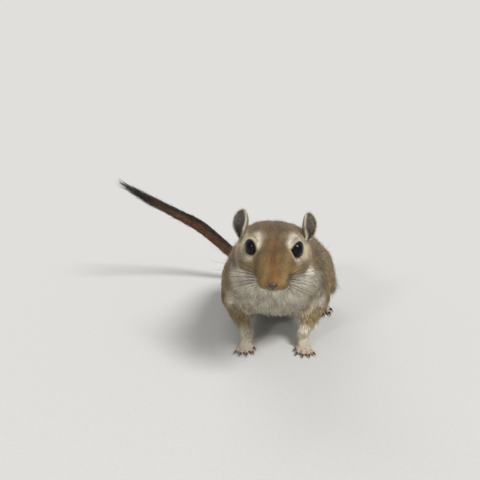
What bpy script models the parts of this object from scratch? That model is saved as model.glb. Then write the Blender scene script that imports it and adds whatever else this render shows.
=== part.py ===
"""A Mongolian gerbil as a still, life-size model.

It crouches on all four feet with its head held up and looking ahead, and its tail
swings out to its right and up behind it. The gerbil faces -Y and its left side is +X.
The body is one blended form parted by thin cuts; ears, feet and tail are built on it.
Lengths are millimetres from the point of the floor under the middle between the eyes.
"""
import math
import random

import bmesh
import bpy
from mathutils import Matrix, Vector
from mathutils.bvhtree import BVHTree

MM = 0.001
COLLECTION = "gerbil"

# The head's own frame: its origin lies midway between the eyes, +Y back and +Z up
EYE_HEIGHT = 52.0
HEAD_PITCH = math.radians(16)
HEAD_ROLL = math.radians(2.6)

# The gap between nodes, the blended form's grain and how far it is smoothed
SEAM = 0.3
GRAIN = 0.6
SMOOTH_STEPS = 12
SPARE = 2.5
ROOM = 300.0
SMOOTH_FACTOR = 0.5
HEAD_TRIANGLES = 1500
REAR_TRIANGLES = 2300

# How finely each form is divided: sides of tubes, and segments and rings of balls
FORM_SEGMENTS = 20
ZONE_SEGMENTS = 12
HEAD_SIDES = 24
TRUNK_SIDES = 32
SOLE_SIDES = 8
TOE_SIDES = 6
CLAW_SIDES = 5
TAIL_SIDES = 12
SWELLING_MESH = (24, 14)
EYE_MESH = (16, 10)
NOSE_MESH = (16, 10)
HOLE_MESH = (10, 8)
LID_MESH = (16, 6)
DOME_ANGLE = math.radians(80)
THIN_END = 0.04
NEARLY_UPRIGHT = 0.05

# Eyes and lids, in the head's frame
EYE_RADIUS = 3.3
EYE_CENTRE = Vector((7.7, 0.0, 0.0))
EYE_AXIS = Vector((0.70, -0.66, 0.27)).normalized()
LID_ANGLE = math.radians(60)
LID_LIFT = 0.2
LID_RADIUS = 0.45

# Ears, in the head's frame: shares of the length, radius of the cup, half angle it wraps
EAR_ROOT = Vector((11.7, 10.9, -1.8))
EAR_AXIS = Vector((0.32, 0.10, 0.94)).normalized()
EAR_FACING = Vector((0.74, -0.67, 0.0))
EAR_LENGTH = 10.8
EAR_CUPS = (
    (0.0, 1.9, 118),
    (0.2, 2.6, 110),
    (0.38, 3.6, 90),
    (0.56, 4.6, 72),
    (0.74, 5.2, 56),
    (0.88, 5.2, 38),
    (0.96, 4.8, 20),
    (1.0, 4.6, 4),
)
EAR_ACROSS = 10
EAR_THICKNESS = 0.75
EAR_LEAN = 1.2
EAR_FORWARD = 0.55
EAR_CUT_SHARE = 0.34
EAR_CUT_NORMAL = Vector((0.45, 0.05, 0.89))

# Head rings: back, half width, top, level of the widest place, bottom
HEAD_RINGS = (
    (-17.8, 1.0, -4.2, -5.2, -6.2),
    (-17.1, 2.4, -3.0, -5.2, -7.4),
    (-15.2, 4.0, -1.7, -5.6, -8.6),
    (-12.0, 5.8, 0.1, -5.8, -9.6),
    (-8.5, 7.4, 2.2, -5.8, -11.0),
    (-4.5, 8.9, 4.2, -5.4, -12.4),
    (0.0, 10.2, 5.7, -4.8, -13.6),
    (5.0, 11.8, 6.4, -4.6, -14.6),
    (10.0, 13.0, 6.0, -4.8, -15.4),
    (15.0, 13.4, 3.7, -5.4, -16.0),
    (20.0, 12.4, 0.0, -6.4, -16.0),
    (24.0, 9.0, -4.5, -8.0, -13.0),
)
HEAD_SQUARE = 0.88
# Swellings of the head: centre and radii, those off the middle on both sides
BROW = ((5.5, 0.5, 0.0), (5.0, 6.2, 4.8))
WHISKER_PAD = ((3.0, -12.6, -5.9), (3.3, 4.8, 3.1))
CHEEK = ((7.6, 6.0, -6.6), (8.0, 12.0, 7.6))
CHIN = ((0.0, -10.8, -9.9), (2.7, 4.0, 2.0))

# Nose and mouth, in the head's frame
NOSE_PAD = ((0.0, -17.5, -4.7), (1.75, 1.15, 1.2))
NOSTRIL = ((0.95, -18.35, -4.95), (0.42, 0.8, 0.3))
CLEFT = ((0.0, -17.7, -6.6), (0.22, 0.9, 1.6))
MOUTH_CENTRE = Vector((0.0, -8.5, 0.0))
MOUTH_HALF_ANGLE = math.radians(72)
MOUTH_STEPS = 10
MOUTH_LEVEL = -9.2
MOUTH_RISE = 1.0
MOUTH_GROOVE = 0.3
LIP_RADIUS = 0.5
LIP_OFFSETS = (0.5, -0.55)
LIP_TAPER = 0.5
LIP_SIDES = 5

# Trunk stations: centre, half width, half height
TRUNK = (
    ((0.0, 11.0, 45.4), 13.5, 12.5),
    ((0.0, 20.0, 39.4), 18.3, 17.6),
    ((0.5, 31.0, 33.4), 22.3, 19.8),
    ((1.5, 43.0, 28.5), 24.3, 20.4),
    ((2.5, 57.0, 25.2), 25.0, 20.4),
    ((3.5, 71.0, 23.2), 24.2, 19.4),
    ((3.8, 83.0, 21.0), 20.0, 16.8),
    ((3.8, 92.0, 18.6), 12.8, 11.8),
    ((3.5, 98.0, 17.0), 6.6, 6.2),
    ((2.8, 102.5, 16.2), 3.9, 3.9),
    ((1.2, 106.0, 15.6), 3.4, 3.4),
    ((-2.6, 109.2, 14.9), 3.3, 3.3),
)

# Planes that part the head from the neck and the neck from the torso
HEAD_PLANE = (Vector((0, 13.0, 45.6)), Vector((0, 0.84, -0.54)))
NECK_PLANE = (Vector((0, 26.0, 37.6)), Vector((0, 0.88, -0.47)))

# Legs: each joint's sideways distance from the body's middle, then back and up, and its radius
FORE_MIDDLE = 0.8
SHOULDER = ((15.0, 33.0, 30.0), 9.0)
ELBOW = ((18.6, 38.5, 18.5), 6.6)
FOREARM = ((15.2, 31.5, 11.5), 4.3)
WRIST = ((12.4, 27.0, 7.0), 2.9)
WRIST_FOOT = ((12.2, 26.6, 3.4), 2.6)
HIND_MIDDLE = 3.4
HIP = ((15.0, 77.0, 23.0), 10.0)
KNEE = ((20.5, 60.0, 17.5), 7.6)
SHANK = ((20.0, 73.0, 12.0), 6.4)
ANKLE = ((18.2, 85.0, 8.4), 3.7)
ANKLE_FOOT = ((17.8, 85.6, 4.0), 3.0)
THIGH = ((17.0, 72.5, 20.0), (10.0, 17.0, 14.0))
ZONE_MARGIN = 1.3
FORE_CUT = 6.2
HIND_CUT = 6.6

# Feet: how far back the heel is, how far the toes turn out, and the sole's stations:
# forward of the heel, level of the middle, half width, half height
FORE_HEEL = (12.2, 28.4)
FORE_TURN = math.radians(4)
FORE_PALM = (
    (0.4, 2.9, 1.6, 1.5),
    (1.8, 2.8, 2.6, 2.8),
    (4.2, 2.1, 2.9, 2.4),
    (6.8, 1.6, 3.0, 1.9),
    (8.8, 1.2, 2.6, 1.5),
    (9.8, 1.0, 1.8, 1.1),
)
HIND_HEEL = (17.6, 89.4)
HIND_TURN = math.radians(7)
HIND_SOLE = (
    (0.4, 3.0, 1.8, 1.8),
    (2.2, 3.1, 2.9, 3.2),
    (7.0, 2.6, 3.0, 2.9),
    (13.0, 2.1, 3.3, 2.4),
    (17.6, 1.6, 3.5, 1.9),
    (20.4, 1.2, 3.1, 1.5),
    (21.8, 1.0, 2.1, 1.1),
)
# Toes: forward of the heel, out from the foot's line, splay in degrees, length
FORE_TOES = (
    (8.2, 2.2, 20, 4.2),
    (9.0, 0.8, 6, 5.0),
    (9.0, -0.8, -7, 4.9),
    (8.0, -2.2, -22, 4.0),
    (5.6, -2.5, -38, 2.0),
)
FORE_TOE_RADIUS = 0.92
FORE_CLAW = 2.0
HIND_TOES = (
    (16.2, 3.0, 16, 6.6),
    (19.8, 2.0, 8, 7.8),
    (20.2, 0.0, 0, 8.4),
    (19.6, -2.0, -7, 7.6),
    (14.8, -3.0, -16, 5.2),
)
HIND_TOE_RADIUS = 1.12
HIND_CLAW = 2.8
# A toe's stations: share of its length, level over the toe's radius, share of its radius
TOE_PROFILE = ((-0.35, 1.25, 0.9), (0.1, 1.3, 1.0), (0.5, 1.25, 1.0), (0.85, 0.92, 0.95))
# A claw's stations: share of its length, level over the toe's radius, share of its radius
CLAW_PROFILE = ((-0.45, 1.1, 1.0), (0.3, 1.2, 0.85), (1.0, 0.4, 0.14))
CLAW_RADIUS_SHARE = 0.46
CLAW_START = 0.95

# The tail's middle line and radius, out to the tips of its fur
TAIL = (
    ((1.2, 106.0, 15.6), 3.4),
    ((-5.0, 110.0, 14.5), 3.4),
    ((-13.0, 111.8, 14.4), 3.5),
    ((-22.5, 112.4, 16.2), 3.6),
    ((-31.5, 112.8, 23.4), 3.7),
    ((-40.1, 112.0, 30.9), 3.7),
    ((-50.5, 109.5, 37.6), 3.6),
    ((-60.0, 106.5, 43.3), 3.2),
    ((-69.0, 103.2, 49.3), 2.3),
    ((-76.5, 99.8, 54.6), 1.2),
    ((-81.8, 97.0, 58.4), 0.35),
)
TAIL_LENGTHS = {"tail_base": (0.0, 0.36), "tail_middle": (0.36, 0.66), "tail_tuft": (0.66, 1.0)}
TAIL_SPANS = 4
TAIL_BLOCK = 12.0

# The locks of the tail's end: rings of locks from here to there along the tail
TUFT_RINGS = 4
TUFT_RANGE = (0.665, 0.9)
TUFT_AROUND = 4
TUFT_CORE = 0.86
CORE_DROP = 4
TUFT_SEED = 11
LOCK_LENGTH = 0.115
LOCK_VARIES = 0.15
LOCK_FULL_RADIUS = 2.6
# A lock's stations: share of its length, its rise and half width as shares of the tail's
# radius, and half thickness
LOCK_PROFILE = (
    (0.0, 0.35, 0.42, 0.34),
    (0.3, 0.80, 0.60, 0.42),
    (0.65, 0.94, 0.46, 0.36),
    (1.0, 1.06, 0.09, 0.14),
)

# Linear colour and roughness
FINISHES = {
    "fur_sandy": ((0.360, 0.235, 0.120), 0.85),
    "fur_cream": ((0.620, 0.555, 0.440), 0.85),
    "fur_tail": ((0.200, 0.110, 0.055), 0.85),
    "fur_tuft": ((0.045, 0.030, 0.022), 0.85),
    "skin_ear": ((0.400, 0.285, 0.240), 0.60),
    "skin_foot": ((0.560, 0.400, 0.310), 0.60),
    "eye_black": ((0.010, 0.008, 0.010), 0.08),
}
FINISH_OF = {
    "eye": "eye_black", "ear": "skin_ear", "forefoot": "skin_foot", "hindfoot": "skin_foot",
    "tail_base": "fur_tail", "tail_middle": "fur_tail", "tail_tuft": "fur_tuft",
    "neck": "fur_cream",
}

SIDES = {"left": 1, "right": -1}
HEAD_PLACE = (
    Matrix.Translation(Vector((0, 0, EYE_HEIGHT)))
    @ Matrix.Rotation(HEAD_PITCH, 4, "X")
    @ Matrix.Rotation(HEAD_ROLL, 4, "Y")
)


def clear_scene():
    """Removes whatever the file held."""
    for obj in list(bpy.data.objects):
        bpy.data.objects.remove(obj, do_unlink=True)


def new_collection(name, rendered=True):
    """A collection linked to the scene."""
    made = bpy.data.collections.new(name)
    bpy.context.scene.collection.children.link(made)
    made.hide_render = not rendered
    return made


def finish_of(node):
    """The Principled material for a node of that name, made once."""
    key = next((FINISH_OF[word] for word in FINISH_OF if node.startswith(word)), "fur_sandy")
    if key in bpy.data.materials:
        return bpy.data.materials[key]
    colour, roughness = FINISHES[key]
    made = bpy.data.materials.new(key)
    made.use_nodes = True
    shader = made.node_tree.nodes["Principled BSDF"]
    shader.inputs["Base Color"].default_value = (*colour, 1.0)
    shader.inputs["Roughness"].default_value = roughness
    shader.inputs["Metallic"].default_value = 0.0
    return made


def object_from(bm, name, shop):
    """A mesh object from bm, scaled from millimetres, with its faces pointing out."""
    bmesh.ops.recalc_face_normals(bm, faces=bm.faces)
    if bm.calc_volume(signed=True) < 0:
        bmesh.ops.reverse_faces(bm, faces=bm.faces)
    mesh = bpy.data.meshes.new(name)
    bm.to_mesh(mesh)
    bm.free()
    mesh.transform(Matrix.Scale(MM, 4))
    made = bpy.data.objects.new(name, mesh)
    shop.objects.link(made)
    return made


def evaluated(obj, shop):
    """Replaces the object by a plain one, as its modifiers leave it."""
    bpy.context.view_layer.update()
    graph = bpy.context.evaluated_depsgraph_get()
    mesh = bpy.data.meshes.new_from_object(obj.evaluated_get(graph))
    mesh.transform(obj.matrix_world)
    made = bpy.data.objects.new(obj.name, mesh)
    shop.objects.link(made)
    bpy.data.objects.remove(obj, do_unlink=True)
    return made


def move_to(obj, collection):
    """Leaves the object in that collection only."""
    for owner in list(obj.users_collection):
        owner.objects.unlink(obj)
    collection.objects.link(obj)


def copy_of(obj, name, shop):
    """Another object with a copy of the mesh."""
    made = bpy.data.objects.new(name, obj.data.copy())
    shop.objects.link(made)
    return made


def triangulated(obj):
    """The object with its bent faces split, so that a Boolean cuts them cleanly."""
    bm = bmesh.new()
    bm.from_mesh(obj.data)
    bmesh.ops.triangulate(bm, faces=bm.faces)
    bm.to_mesh(obj.data)
    bm.free()
    return obj


def shells_of(bm):
    """The connected surfaces of bm, each as a set of faces."""
    unseen = set(bm.faces)
    shells = []
    while unseen:
        front = [unseen.pop()]
        shell = set(front)
        while front:
            for edge in front.pop().edges:
                for face in edge.link_faces:
                    if face in unseen:
                        unseen.discard(face)
                        shell.add(face)
                        front.append(face)
        shells.append(shell)
    return shells


def keep_largest(obj):
    """Leaves the object's largest closed surface, and drops loose scraps."""
    bm = bmesh.new()
    bm.from_mesh(obj.data)
    shells = shells_of(bm)
    best = max(shells, key=lambda shell: sum(f.calc_area() for f in shell))
    spare = [face for shell in shells if shell is not best for face in shell]
    bmesh.ops.delete(bm, geom=spare, context="FACES")
    bmesh.ops.triangulate(bm, faces=bm.faces)
    bm.to_mesh(obj.data)
    bm.free()


def combine(base, others, operation, shop):
    """One Boolean of base with all the others, applied; the others are removed.

    The solver is MANIFOLD, as EXACT takes minutes on the blended form.
    """
    tools = bpy.data.collections.new("tools")
    for other in others:
        tools.objects.link(other)
    step = base.modifiers.new("combine", "BOOLEAN")
    step.operation = operation
    step.operand_type = "COLLECTION"
    step.collection = tools
    step.solver = "MANIFOLD"
    made = evaluated(base, shop)
    for other in others:
        bpy.data.objects.remove(other, do_unlink=True)
    bpy.data.collections.remove(tools)
    keep_largest(made)
    return made


def spline(points, spans):
    """Points of a Catmull-Rom curve through points, which may have any count of numbers."""
    rows = [Vector(point) for point in points]
    rows = [rows[0] * 2 - rows[1], *rows, rows[-1] * 2 - rows[-2]]
    made = []
    for a, b, c, d in zip(rows, rows[1:], rows[2:], rows[3:]):
        for step in range(spans):
            t = step / spans
            even = b * 2 + (c - a) * t
            bend = (a * 2 - b * 5 + c * 4 - d) * t ** 2 + (b * 3 - a - c * 3 + d) * t ** 3
            made.append((even + bend) * 0.5)
    made.append(rows[-2].copy())
    return made


def skin_rings(bm, rings):
    """Joins rings of equal count by quads, and closes both ends with a fan."""
    made = [[bm.verts.new(point) for point in ring] for ring in rings]
    count = len(made[0])
    for near, far in zip(made, made[1:]):
        for i in range(count):
            j = (i + 1) % count
            bm.faces.new((near[i], near[j], far[j], far[i]))
    for ring in (made[0], made[-1]):
        pole = bm.verts.new(sum((vert.co for vert in ring), Vector()) / count)
        for i in range(count):
            bm.faces.new((ring[i], ring[(i + 1) % count], pole))


def cross_frame(tangent):
    """Two directions square to the tangent: sideways and upwards."""
    side = tangent.cross(Vector((0, 0, 1)))
    if side.length < NEARLY_UPRIGHT:
        side = Vector((1, 0, 0))
    side.normalize()
    return side, side.cross(tangent).normalized()


def dome(ring, inner, share):
    """A ring drawn in and pushed out beyond an end ring, for a round end."""
    count = len(ring)
    middle = sum(ring, Vector()) / count
    back = sum(inner, Vector()) / count
    radius = sum((point - middle).length for point in ring) / count
    angle = share * DOME_ANGLE
    push = (middle - back).normalized() * radius * math.sin(angle)
    return [middle + (point - middle) * math.cos(angle) + push for point in ring]


def tube(name, shop, stations, sides=16, spans=3, domes=2):
    """A closed tube along stations of (centre, half width, half height), with round ends."""
    rows = spline([(*centre, 0.0) for centre, _, _ in stations], spans)
    sizes = spline([(width, height) for _, width, height in stations], spans)
    centres = [Vector(row[:3]) for row in rows]
    last = len(centres) - 1
    rings = []
    for i, centre in enumerate(centres):
        tangent = centres[min(i + 1, last)] - centres[max(i - 1, 0)]
        side, up = cross_frame(tangent.normalized())
        width, height = (max(size, THIN_END) for size in sizes[i])
        turns = [math.tau * k / sides for k in range(sides)]
        rings.append([
            centre + side * width * math.cos(a) + up * height * math.sin(a) for a in turns
        ])
    first, final = rings[:2], rings[:-3:-1]
    for k in range(domes):
        share = (k + 1) / domes
        rings.insert(0, dome(*first, share))
        rings.append(dome(*final, share))
    bm = bmesh.new()
    skin_rings(bm, rings)
    return object_from(bm, name, shop)


def limb(shop, joints, middle, side, margin, segments):
    """The lengths of a limb, each round-ended, through joints of (place, radius) on one side."""
    made = []
    for pair in zip(joints, joints[1:]):
        bm = bmesh.new()
        for (x, y, z), radius in pair:
            place = Matrix.Translation((middle + side * x, y, z))
            rings = segments // 2 + 1
            bmesh.ops.create_uvsphere(
                bm, u_segments=segments, v_segments=rings, radius=radius + margin, matrix=place
            )
        bmesh.ops.delete(bm, geom=bm.edges, context="EDGES_FACES")
        bmesh.ops.convex_hull(bm, input=bm.verts)
        loose = [vert for vert in bm.verts if not vert.link_faces]
        bmesh.ops.delete(bm, geom=loose, context="VERTS")
        made.append(object_from(bm, "limb", shop))
    return made


def ball(name, shop, centre, radii, place=Matrix(), mesh=SWELLING_MESH):
    """An ellipsoid with those radii, of mesh's segments and rings."""
    segments, rings = mesh
    bm = bmesh.new()
    bmesh.ops.create_uvsphere(bm, u_segments=segments, v_segments=rings, radius=1.0)
    bm.transform(place @ Matrix.Translation(Vector(centre)) @ Matrix.Diagonal((*radii, 1.0)))
    return object_from(bm, name, shop)


def block(name, shop, point, normal, size, offset):
    """A cube that begins offset past a plane through point and lies on its normal's side."""
    bm = bmesh.new()
    bmesh.ops.create_cube(bm, size=size)
    turn = Vector(normal).normalized().to_track_quat("Z", "Y").to_matrix().to_4x4()
    ahead = Matrix.Translation((0, 0, size / 2 + offset))
    bm.transform(Matrix.Translation(Vector(point)) @ turn @ ahead)
    return object_from(bm, name, shop)


def beyond(obj, shop, plane, offset=0.0):
    """Keeps what lies beyond the plane, moved by offset along its normal."""
    return combine(obj, [block("far", shop, *plane, ROOM, offset)], "INTERSECT", shop)


def flipped(plane):
    """The plane facing the other way."""
    point, normal = plane
    return point, -normal


def on_side(vector, side):
    """The vector as it is on the left side, or mirrored to the right."""
    return Vector((vector[0] * side, vector[1], vector[2]))


def thinned(obj, shop, triangles):
    """The object with about that many triangles."""
    obj.data.calc_loop_triangles()
    step = obj.modifiers.new("thin", "DECIMATE")
    step.ratio = min(1.0, triangles / len(obj.data.loop_triangles))
    return evaluated(obj, shop)


def head_forms(shop):
    """The overlapping forms of the head, in the gerbil's own frame."""
    bm = bmesh.new()
    rings = []
    for y, width, top, level, bottom in spline(HEAD_RINGS, 2):
        ring = []
        for k in range(HEAD_SIDES):
            angle = math.tau * k / HEAD_SIDES
            reach = top - level if math.sin(angle) > 0 else level - bottom
            across = math.copysign(abs(math.cos(angle)) ** HEAD_SQUARE, math.cos(angle))
            upward = math.copysign(abs(math.sin(angle)) ** HEAD_SQUARE, math.sin(angle))
            point = Vector((width * across, y, level + reach * upward))
            ring.append(HEAD_PLACE @ point)
        rings.append(ring)
    skin_rings(bm, rings)
    made = [object_from(bm, "skull", shop), ball("chin", shop, *CHIN, HEAD_PLACE)]
    for centre, radii in (BROW, WHISKER_PAD, CHEEK):
        for side in SIDES.values():
            made.append(ball("swelling", shop, on_side(centre, side), radii, HEAD_PLACE))
    return made


def fore_leg(shop, side, margin=0.0, segments=FORM_SEGMENTS):
    """The forms of one foreleg, grown by a margin."""
    joints = (SHOULDER, ELBOW, FOREARM, WRIST, WRIST_FOOT)
    return limb(shop, joints, FORE_MIDDLE, side, margin, segments)


def hind_leg(shop, side, margin=0.0, segments=FORM_SEGMENTS):
    """The forms of one thigh and shank, grown by a margin."""
    (x, y, z), radii = THIGH
    centre, radii = (HIND_MIDDLE + side * x, y, z), [radius + margin for radius in radii]
    haunch = ball("thigh", shop, centre, radii, mesh=(segments, segments // 2 + 1))
    joints = (HIP, KNEE, SHANK, ANKLE, ANKLE_FOOT)
    return [haunch, *limb(shop, joints, HIND_MIDDLE, side, margin, segments)]


def leg_forms(shop, side):
    """The upper parts of the legs on one side, down past where the feet begin."""
    return fore_leg(shop, side) + hind_leg(shop, side)


def whole_body(shop):
    """Head, trunk, upper legs and the root of the tail as one smooth closed surface."""
    forms = head_forms(shop) + [tube("trunk", shop, TRUNK, sides=TRUNK_SIDES)]
    for side in SIDES.values():
        forms += leg_forms(shop, side)
    body = combine(forms[0], forms[1:], "UNION", shop)
    blend = body.modifiers.new("blend", "REMESH")
    blend.mode = "VOXEL"
    blend.voxel_size = GRAIN * MM
    soften = body.modifiers.new("soften", "SMOOTH")
    soften.factor = SMOOTH_FACTOR
    soften.iterations = SMOOTH_STEPS
    return evaluated(body, shop)


def ear_shell(shop, side):
    """One ear as a cup of even thickness, from its sunk root to its round tip."""
    axis = on_side(EAR_AXIS, side)
    facing = on_side(EAR_FACING, side)
    facing = (facing - axis * facing.dot(axis)).normalized()
    across = axis.cross(facing)
    bm = bmesh.new()
    rows = []
    for share, radius, wrap in spline(EAR_CUPS, 1):
        centre = on_side(EAR_ROOT, side) + axis * (EAR_LENGTH * share)
        centre += facing * (radius * EAR_FORWARD - EAR_LEAN * share ** 2)
        row = []
        for k in range(EAR_ACROSS + 1):
            angle = math.radians(wrap) * (2 * k / EAR_ACROSS - 1)
            back = facing * (-math.cos(angle) * radius) + across * (math.sin(angle) * radius)
            row.append(bm.verts.new(HEAD_PLACE @ (centre + back)))
        rows.append(row)
    for low, high in zip(rows, rows[1:]):
        for k in range(EAR_ACROSS):
            bm.faces.new((low[k], low[k + 1], high[k + 1], high[k]))
    ear = object_from(bm, f"ear_{side}", shop)
    wall = ear.modifiers.new("wall", "SOLIDIFY")
    wall.thickness = EAR_THICKNESS * MM
    wall.offset = 0.0
    ear = evaluated(ear, shop)
    keep_largest(ear)
    return ear


def ear_plane(side):
    """Where an ear is parted from its root on the head."""
    point = EAR_ROOT + EAR_AXIS * (EAR_LENGTH * EAR_CUT_SHARE)
    normal = on_side(EAR_CUT_NORMAL, side).normalized()
    return HEAD_PLACE @ on_side(point, side), HEAD_PLACE.to_3x3() @ normal


def lid(shop, side):
    """The ring of lid round one eye."""
    reach = EYE_RADIUS + LID_LIFT
    axis = on_side(EYE_AXIS, side)
    centre = on_side(EYE_CENTRE, side) + axis * reach * math.cos(LID_ANGLE)
    turn = axis.to_track_quat("Z", "Y").to_matrix().to_4x4()
    place = HEAD_PLACE @ Matrix.Translation(centre) @ turn
    ring = reach * math.sin(LID_ANGLE)
    round_it, across = LID_MESH
    bpy.ops.mesh.primitive_torus_add(
        major_radius=ring * MM, minor_radius=LID_RADIUS * MM,
        major_segments=round_it, minor_segments=across,
    )
    made = bpy.context.object
    made.data.transform(Matrix.Translation(place.translation * MM) @ place.to_3x3().to_4x4())
    move_to(made, shop)
    return made


def round_muzzle(tree, drop):
    """Points where a line round the muzzle meets the skin, drop below the mouth."""
    made = []
    for step in range(MOUTH_STEPS + 1):
        share = 2 * step / MOUTH_STEPS - 1
        angle = share * MOUTH_HALF_ANGLE
        level = MOUTH_LEVEL + MOUTH_RISE * share ** 2 + drop
        aim = MOUTH_CENTRE + Vector((0, 0, level))
        out = Vector((math.sin(angle), -math.cos(angle), 0)) * ROOM / 2
        start, goal = HEAD_PLACE @ (aim + out), HEAD_PLACE @ aim
        hit = tree.ray_cast(start * MM, (goal - start).normalized())[0]
        made.append(hit / MM)
    return made


def mouth_tube(tree, shop, drop, radius):
    """A bead along the mouth, thinner at its corners."""
    points = round_muzzle(tree, drop)
    middle = MOUTH_STEPS / 2
    stations = []
    for step, point in enumerate(points):
        size = radius * (1 - LIP_TAPER * abs(step / middle - 1) ** 3)
        stations.append((point, size, size))
    return tube("bead", shop, stations, sides=LIP_SIDES, spans=1, domes=1)


def finished_head(head, ear_stumps, shop):
    """Adds lids, lips, nose and ear roots to the head, and cuts sockets, nostrils and mouth."""
    mesh = head.data
    tree = BVHTree.FromPolygons([v.co for v in mesh.vertices], [p.vertices for p in mesh.polygons])
    added = [ball("nose", shop, *NOSE_PAD, HEAD_PLACE, NOSE_MESH), *ear_stumps]
    added += [lid(shop, side) for side in SIDES.values()]
    added += [mouth_tube(tree, shop, drop, LIP_RADIUS) for drop in LIP_OFFSETS]
    cuts = [mouth_tube(tree, shop, 0.0, MOUTH_GROOVE)]
    cuts.append(ball("cleft", shop, *CLEFT, HEAD_PLACE, HOLE_MESH))
    for side in SIDES.values():
        room = [EYE_RADIUS + SEAM] * 3
        cuts.append(ball("socket", shop, on_side(EYE_CENTRE, side), room, HEAD_PLACE, NOSE_MESH))
        centre, radii = NOSTRIL
        cuts.append(ball("nostril", shop, on_side(centre, side), radii, HEAD_PLACE, HOLE_MESH))
    head = combine(head, added, "UNION", shop)
    return combine(head, cuts, "DIFFERENCE", shop)


def zone(shop, leg, side, grown):
    """The room that one leg takes, to part it from the body."""
    forms = leg(shop, side, ZONE_MARGIN + grown, ZONE_SEGMENTS)
    return combine(forms[0], forms[1:], "UNION", shop)


def part_legs(rear, shop):
    """Parts the legs from the rear of the body, each cut off above its foot."""
    nodes = {}
    gap = SEAM / 2
    for word, leg, cut in (("foreleg", fore_leg, FORE_CUT), ("thigh", hind_leg, HIND_CUT)):
        floor = (Vector((0, 0, cut)), Vector((0, 0, 1)))
        for name, side in SIDES.items():
            room = zone(shop, leg, side, -gap)
            made = combine(copy_of(rear, word, shop), [room], "INTERSECT", shop)
            nodes[f"{word}_{name}"] = beyond(made, shop, floor, gap)
    for leg in (fore_leg, hind_leg):
        for side in SIDES.values():
            rear = combine(rear, [zone(shop, leg, side, gap)], "DIFFERENCE", shop)
    nodes["torso"] = rear
    return nodes


def foot(shop, side, middle, heel, turn, sole, toes, toe_radius, claw, stub, cut):
    """One foot with its toes and claws, flat on the floor and flat under its leg."""
    forward = Vector((side * math.sin(turn), -math.cos(turn), 0))
    out = Vector((side * math.cos(turn), math.sin(turn), 0))
    start = Vector((middle + side * heel[0], heel[1], 0))

    def placed(ahead, sideways, level):
        """A point ahead of the heel, out from the foot's line and above the floor."""
        return start + forward * ahead + out * sideways + Vector((0, 0, level))

    stations = [(placed(ahead, 0, level), width, height) for ahead, level, width, height in sole]
    base = tube("sole", shop, stations, sides=SOLE_SIDES, spans=1)
    pieces = limb(shop, stub, middle, side, 0.0, ZONE_SEGMENTS)
    for ahead, sideways, splay, length in toes:
        spread = math.radians(splay)
        turned = forward * math.cos(spread) + out * math.sin(spread)
        root = placed(ahead, sideways, 0)

        def along(reach, profile, radius):
            """Stations of a toe or claw along the toe's own line."""
            return [
                (root + turned * reach(share) + Vector((0, 0, toe_radius * level)),
                 radius * size, radius * size)
                for share, level, size in profile
            ]

        toe = along(lambda share: length * share, TOE_PROFILE, toe_radius)
        nail = along(
            lambda share: length * CLAW_START + claw * share, CLAW_PROFILE,
            toe_radius * CLAW_RADIUS_SHARE,
        )
        pieces.append(tube("toe", shop, toe, sides=TOE_SIDES, spans=1, domes=1))
        pieces.append(tube("claw", shop, nail, sides=CLAW_SIDES, spans=1, domes=0))
    made = combine(base, pieces, "UNION", shop)
    made = beyond(made, shop, (Vector((0, 0, 0)), Vector((0, 0, 1))))
    return beyond(made, shop, (Vector((0, 0, cut)), Vector((0, 0, -1))), SEAM / 2)


def feet(shop):
    """All four feet by node name."""
    nodes = {}
    for name, side in SIDES.items():
        nodes[f"forefoot_{name}"] = foot(
            shop, side, FORE_MIDDLE, FORE_HEEL, FORE_TURN, FORE_PALM, FORE_TOES,
            FORE_TOE_RADIUS, FORE_CLAW, (WRIST, WRIST_FOOT), FORE_CUT,
        )
        nodes[f"hindfoot_{name}"] = foot(
            shop, side, HIND_MIDDLE, HIND_HEEL, HIND_TURN, HIND_SOLE, HIND_TOES,
            HIND_TOE_RADIUS, HIND_CLAW, (ANKLE, ANKLE_FOOT), HIND_CUT,
        )
    return nodes


def tail_line():
    """The tail's middle line as (place, radius), smooth between its stations."""
    rows = spline([(*centre, radius) for centre, radius in TAIL], TAIL_SPANS)
    return [(Vector(row[:3]), row[3]) for row in rows]


def along_tail(line, share):
    """The place, radius and direction at a share of the tail's stations."""
    last = len(line) - 1
    spot = min(max(share, 0.0), 1.0) * last
    near = min(int(spot), last - 1)
    part = spot - near
    (a, thin), (b, thick) = line[near], line[near + 1]
    return a.lerp(b, part), thin + (thick - thin) * part, (b - a).normalized()


def lock(shop, line, share, turn, length):
    """One flat tapered lock that lies along the tail, its root sunk in the tail's core."""
    rings = []
    for reach, lift, width, thickness in LOCK_PROFILE:
        place, radius, ahead = along_tail(line, share + reach * length)
        side, up = cross_frame(ahead)
        out = side * math.cos(turn) + up * math.sin(turn)
        across = ahead.cross(out)
        middle = place + out * (radius * lift)
        wide, thick = width * radius, thickness * min(1.0, radius / LOCK_FULL_RADIUS)
        corners = ((1, 0), (0, 1), (-1, 0), (0, -1))
        rings.append([middle + across * (wide * x) + out * (thick * y) for x, y in corners])
    bm = bmesh.new()
    skin_rings(bm, rings)
    return object_from(bm, "lock", shop)


def tuft_locks(shop, line):
    """The locks of the tail's end, in rings that overlap towards its tip."""
    draw = random.Random(TUFT_SEED)
    made = []
    first, final = TUFT_RANGE
    for ring in range(TUFT_RINGS):
        share = first + (final - first) * ring / (TUFT_RINGS - 1)
        for place in range(TUFT_AROUND):
            place += ring / 2 + draw.uniform(-LOCK_VARIES, LOCK_VARIES)
            turn = math.tau * place / TUFT_AROUND
            length = LOCK_LENGTH * (1 + draw.uniform(-LOCK_VARIES, LOCK_VARIES))
            made.append(lock(shop, line, share, turn, min(length, 1.0 - share)))
    return made


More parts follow.
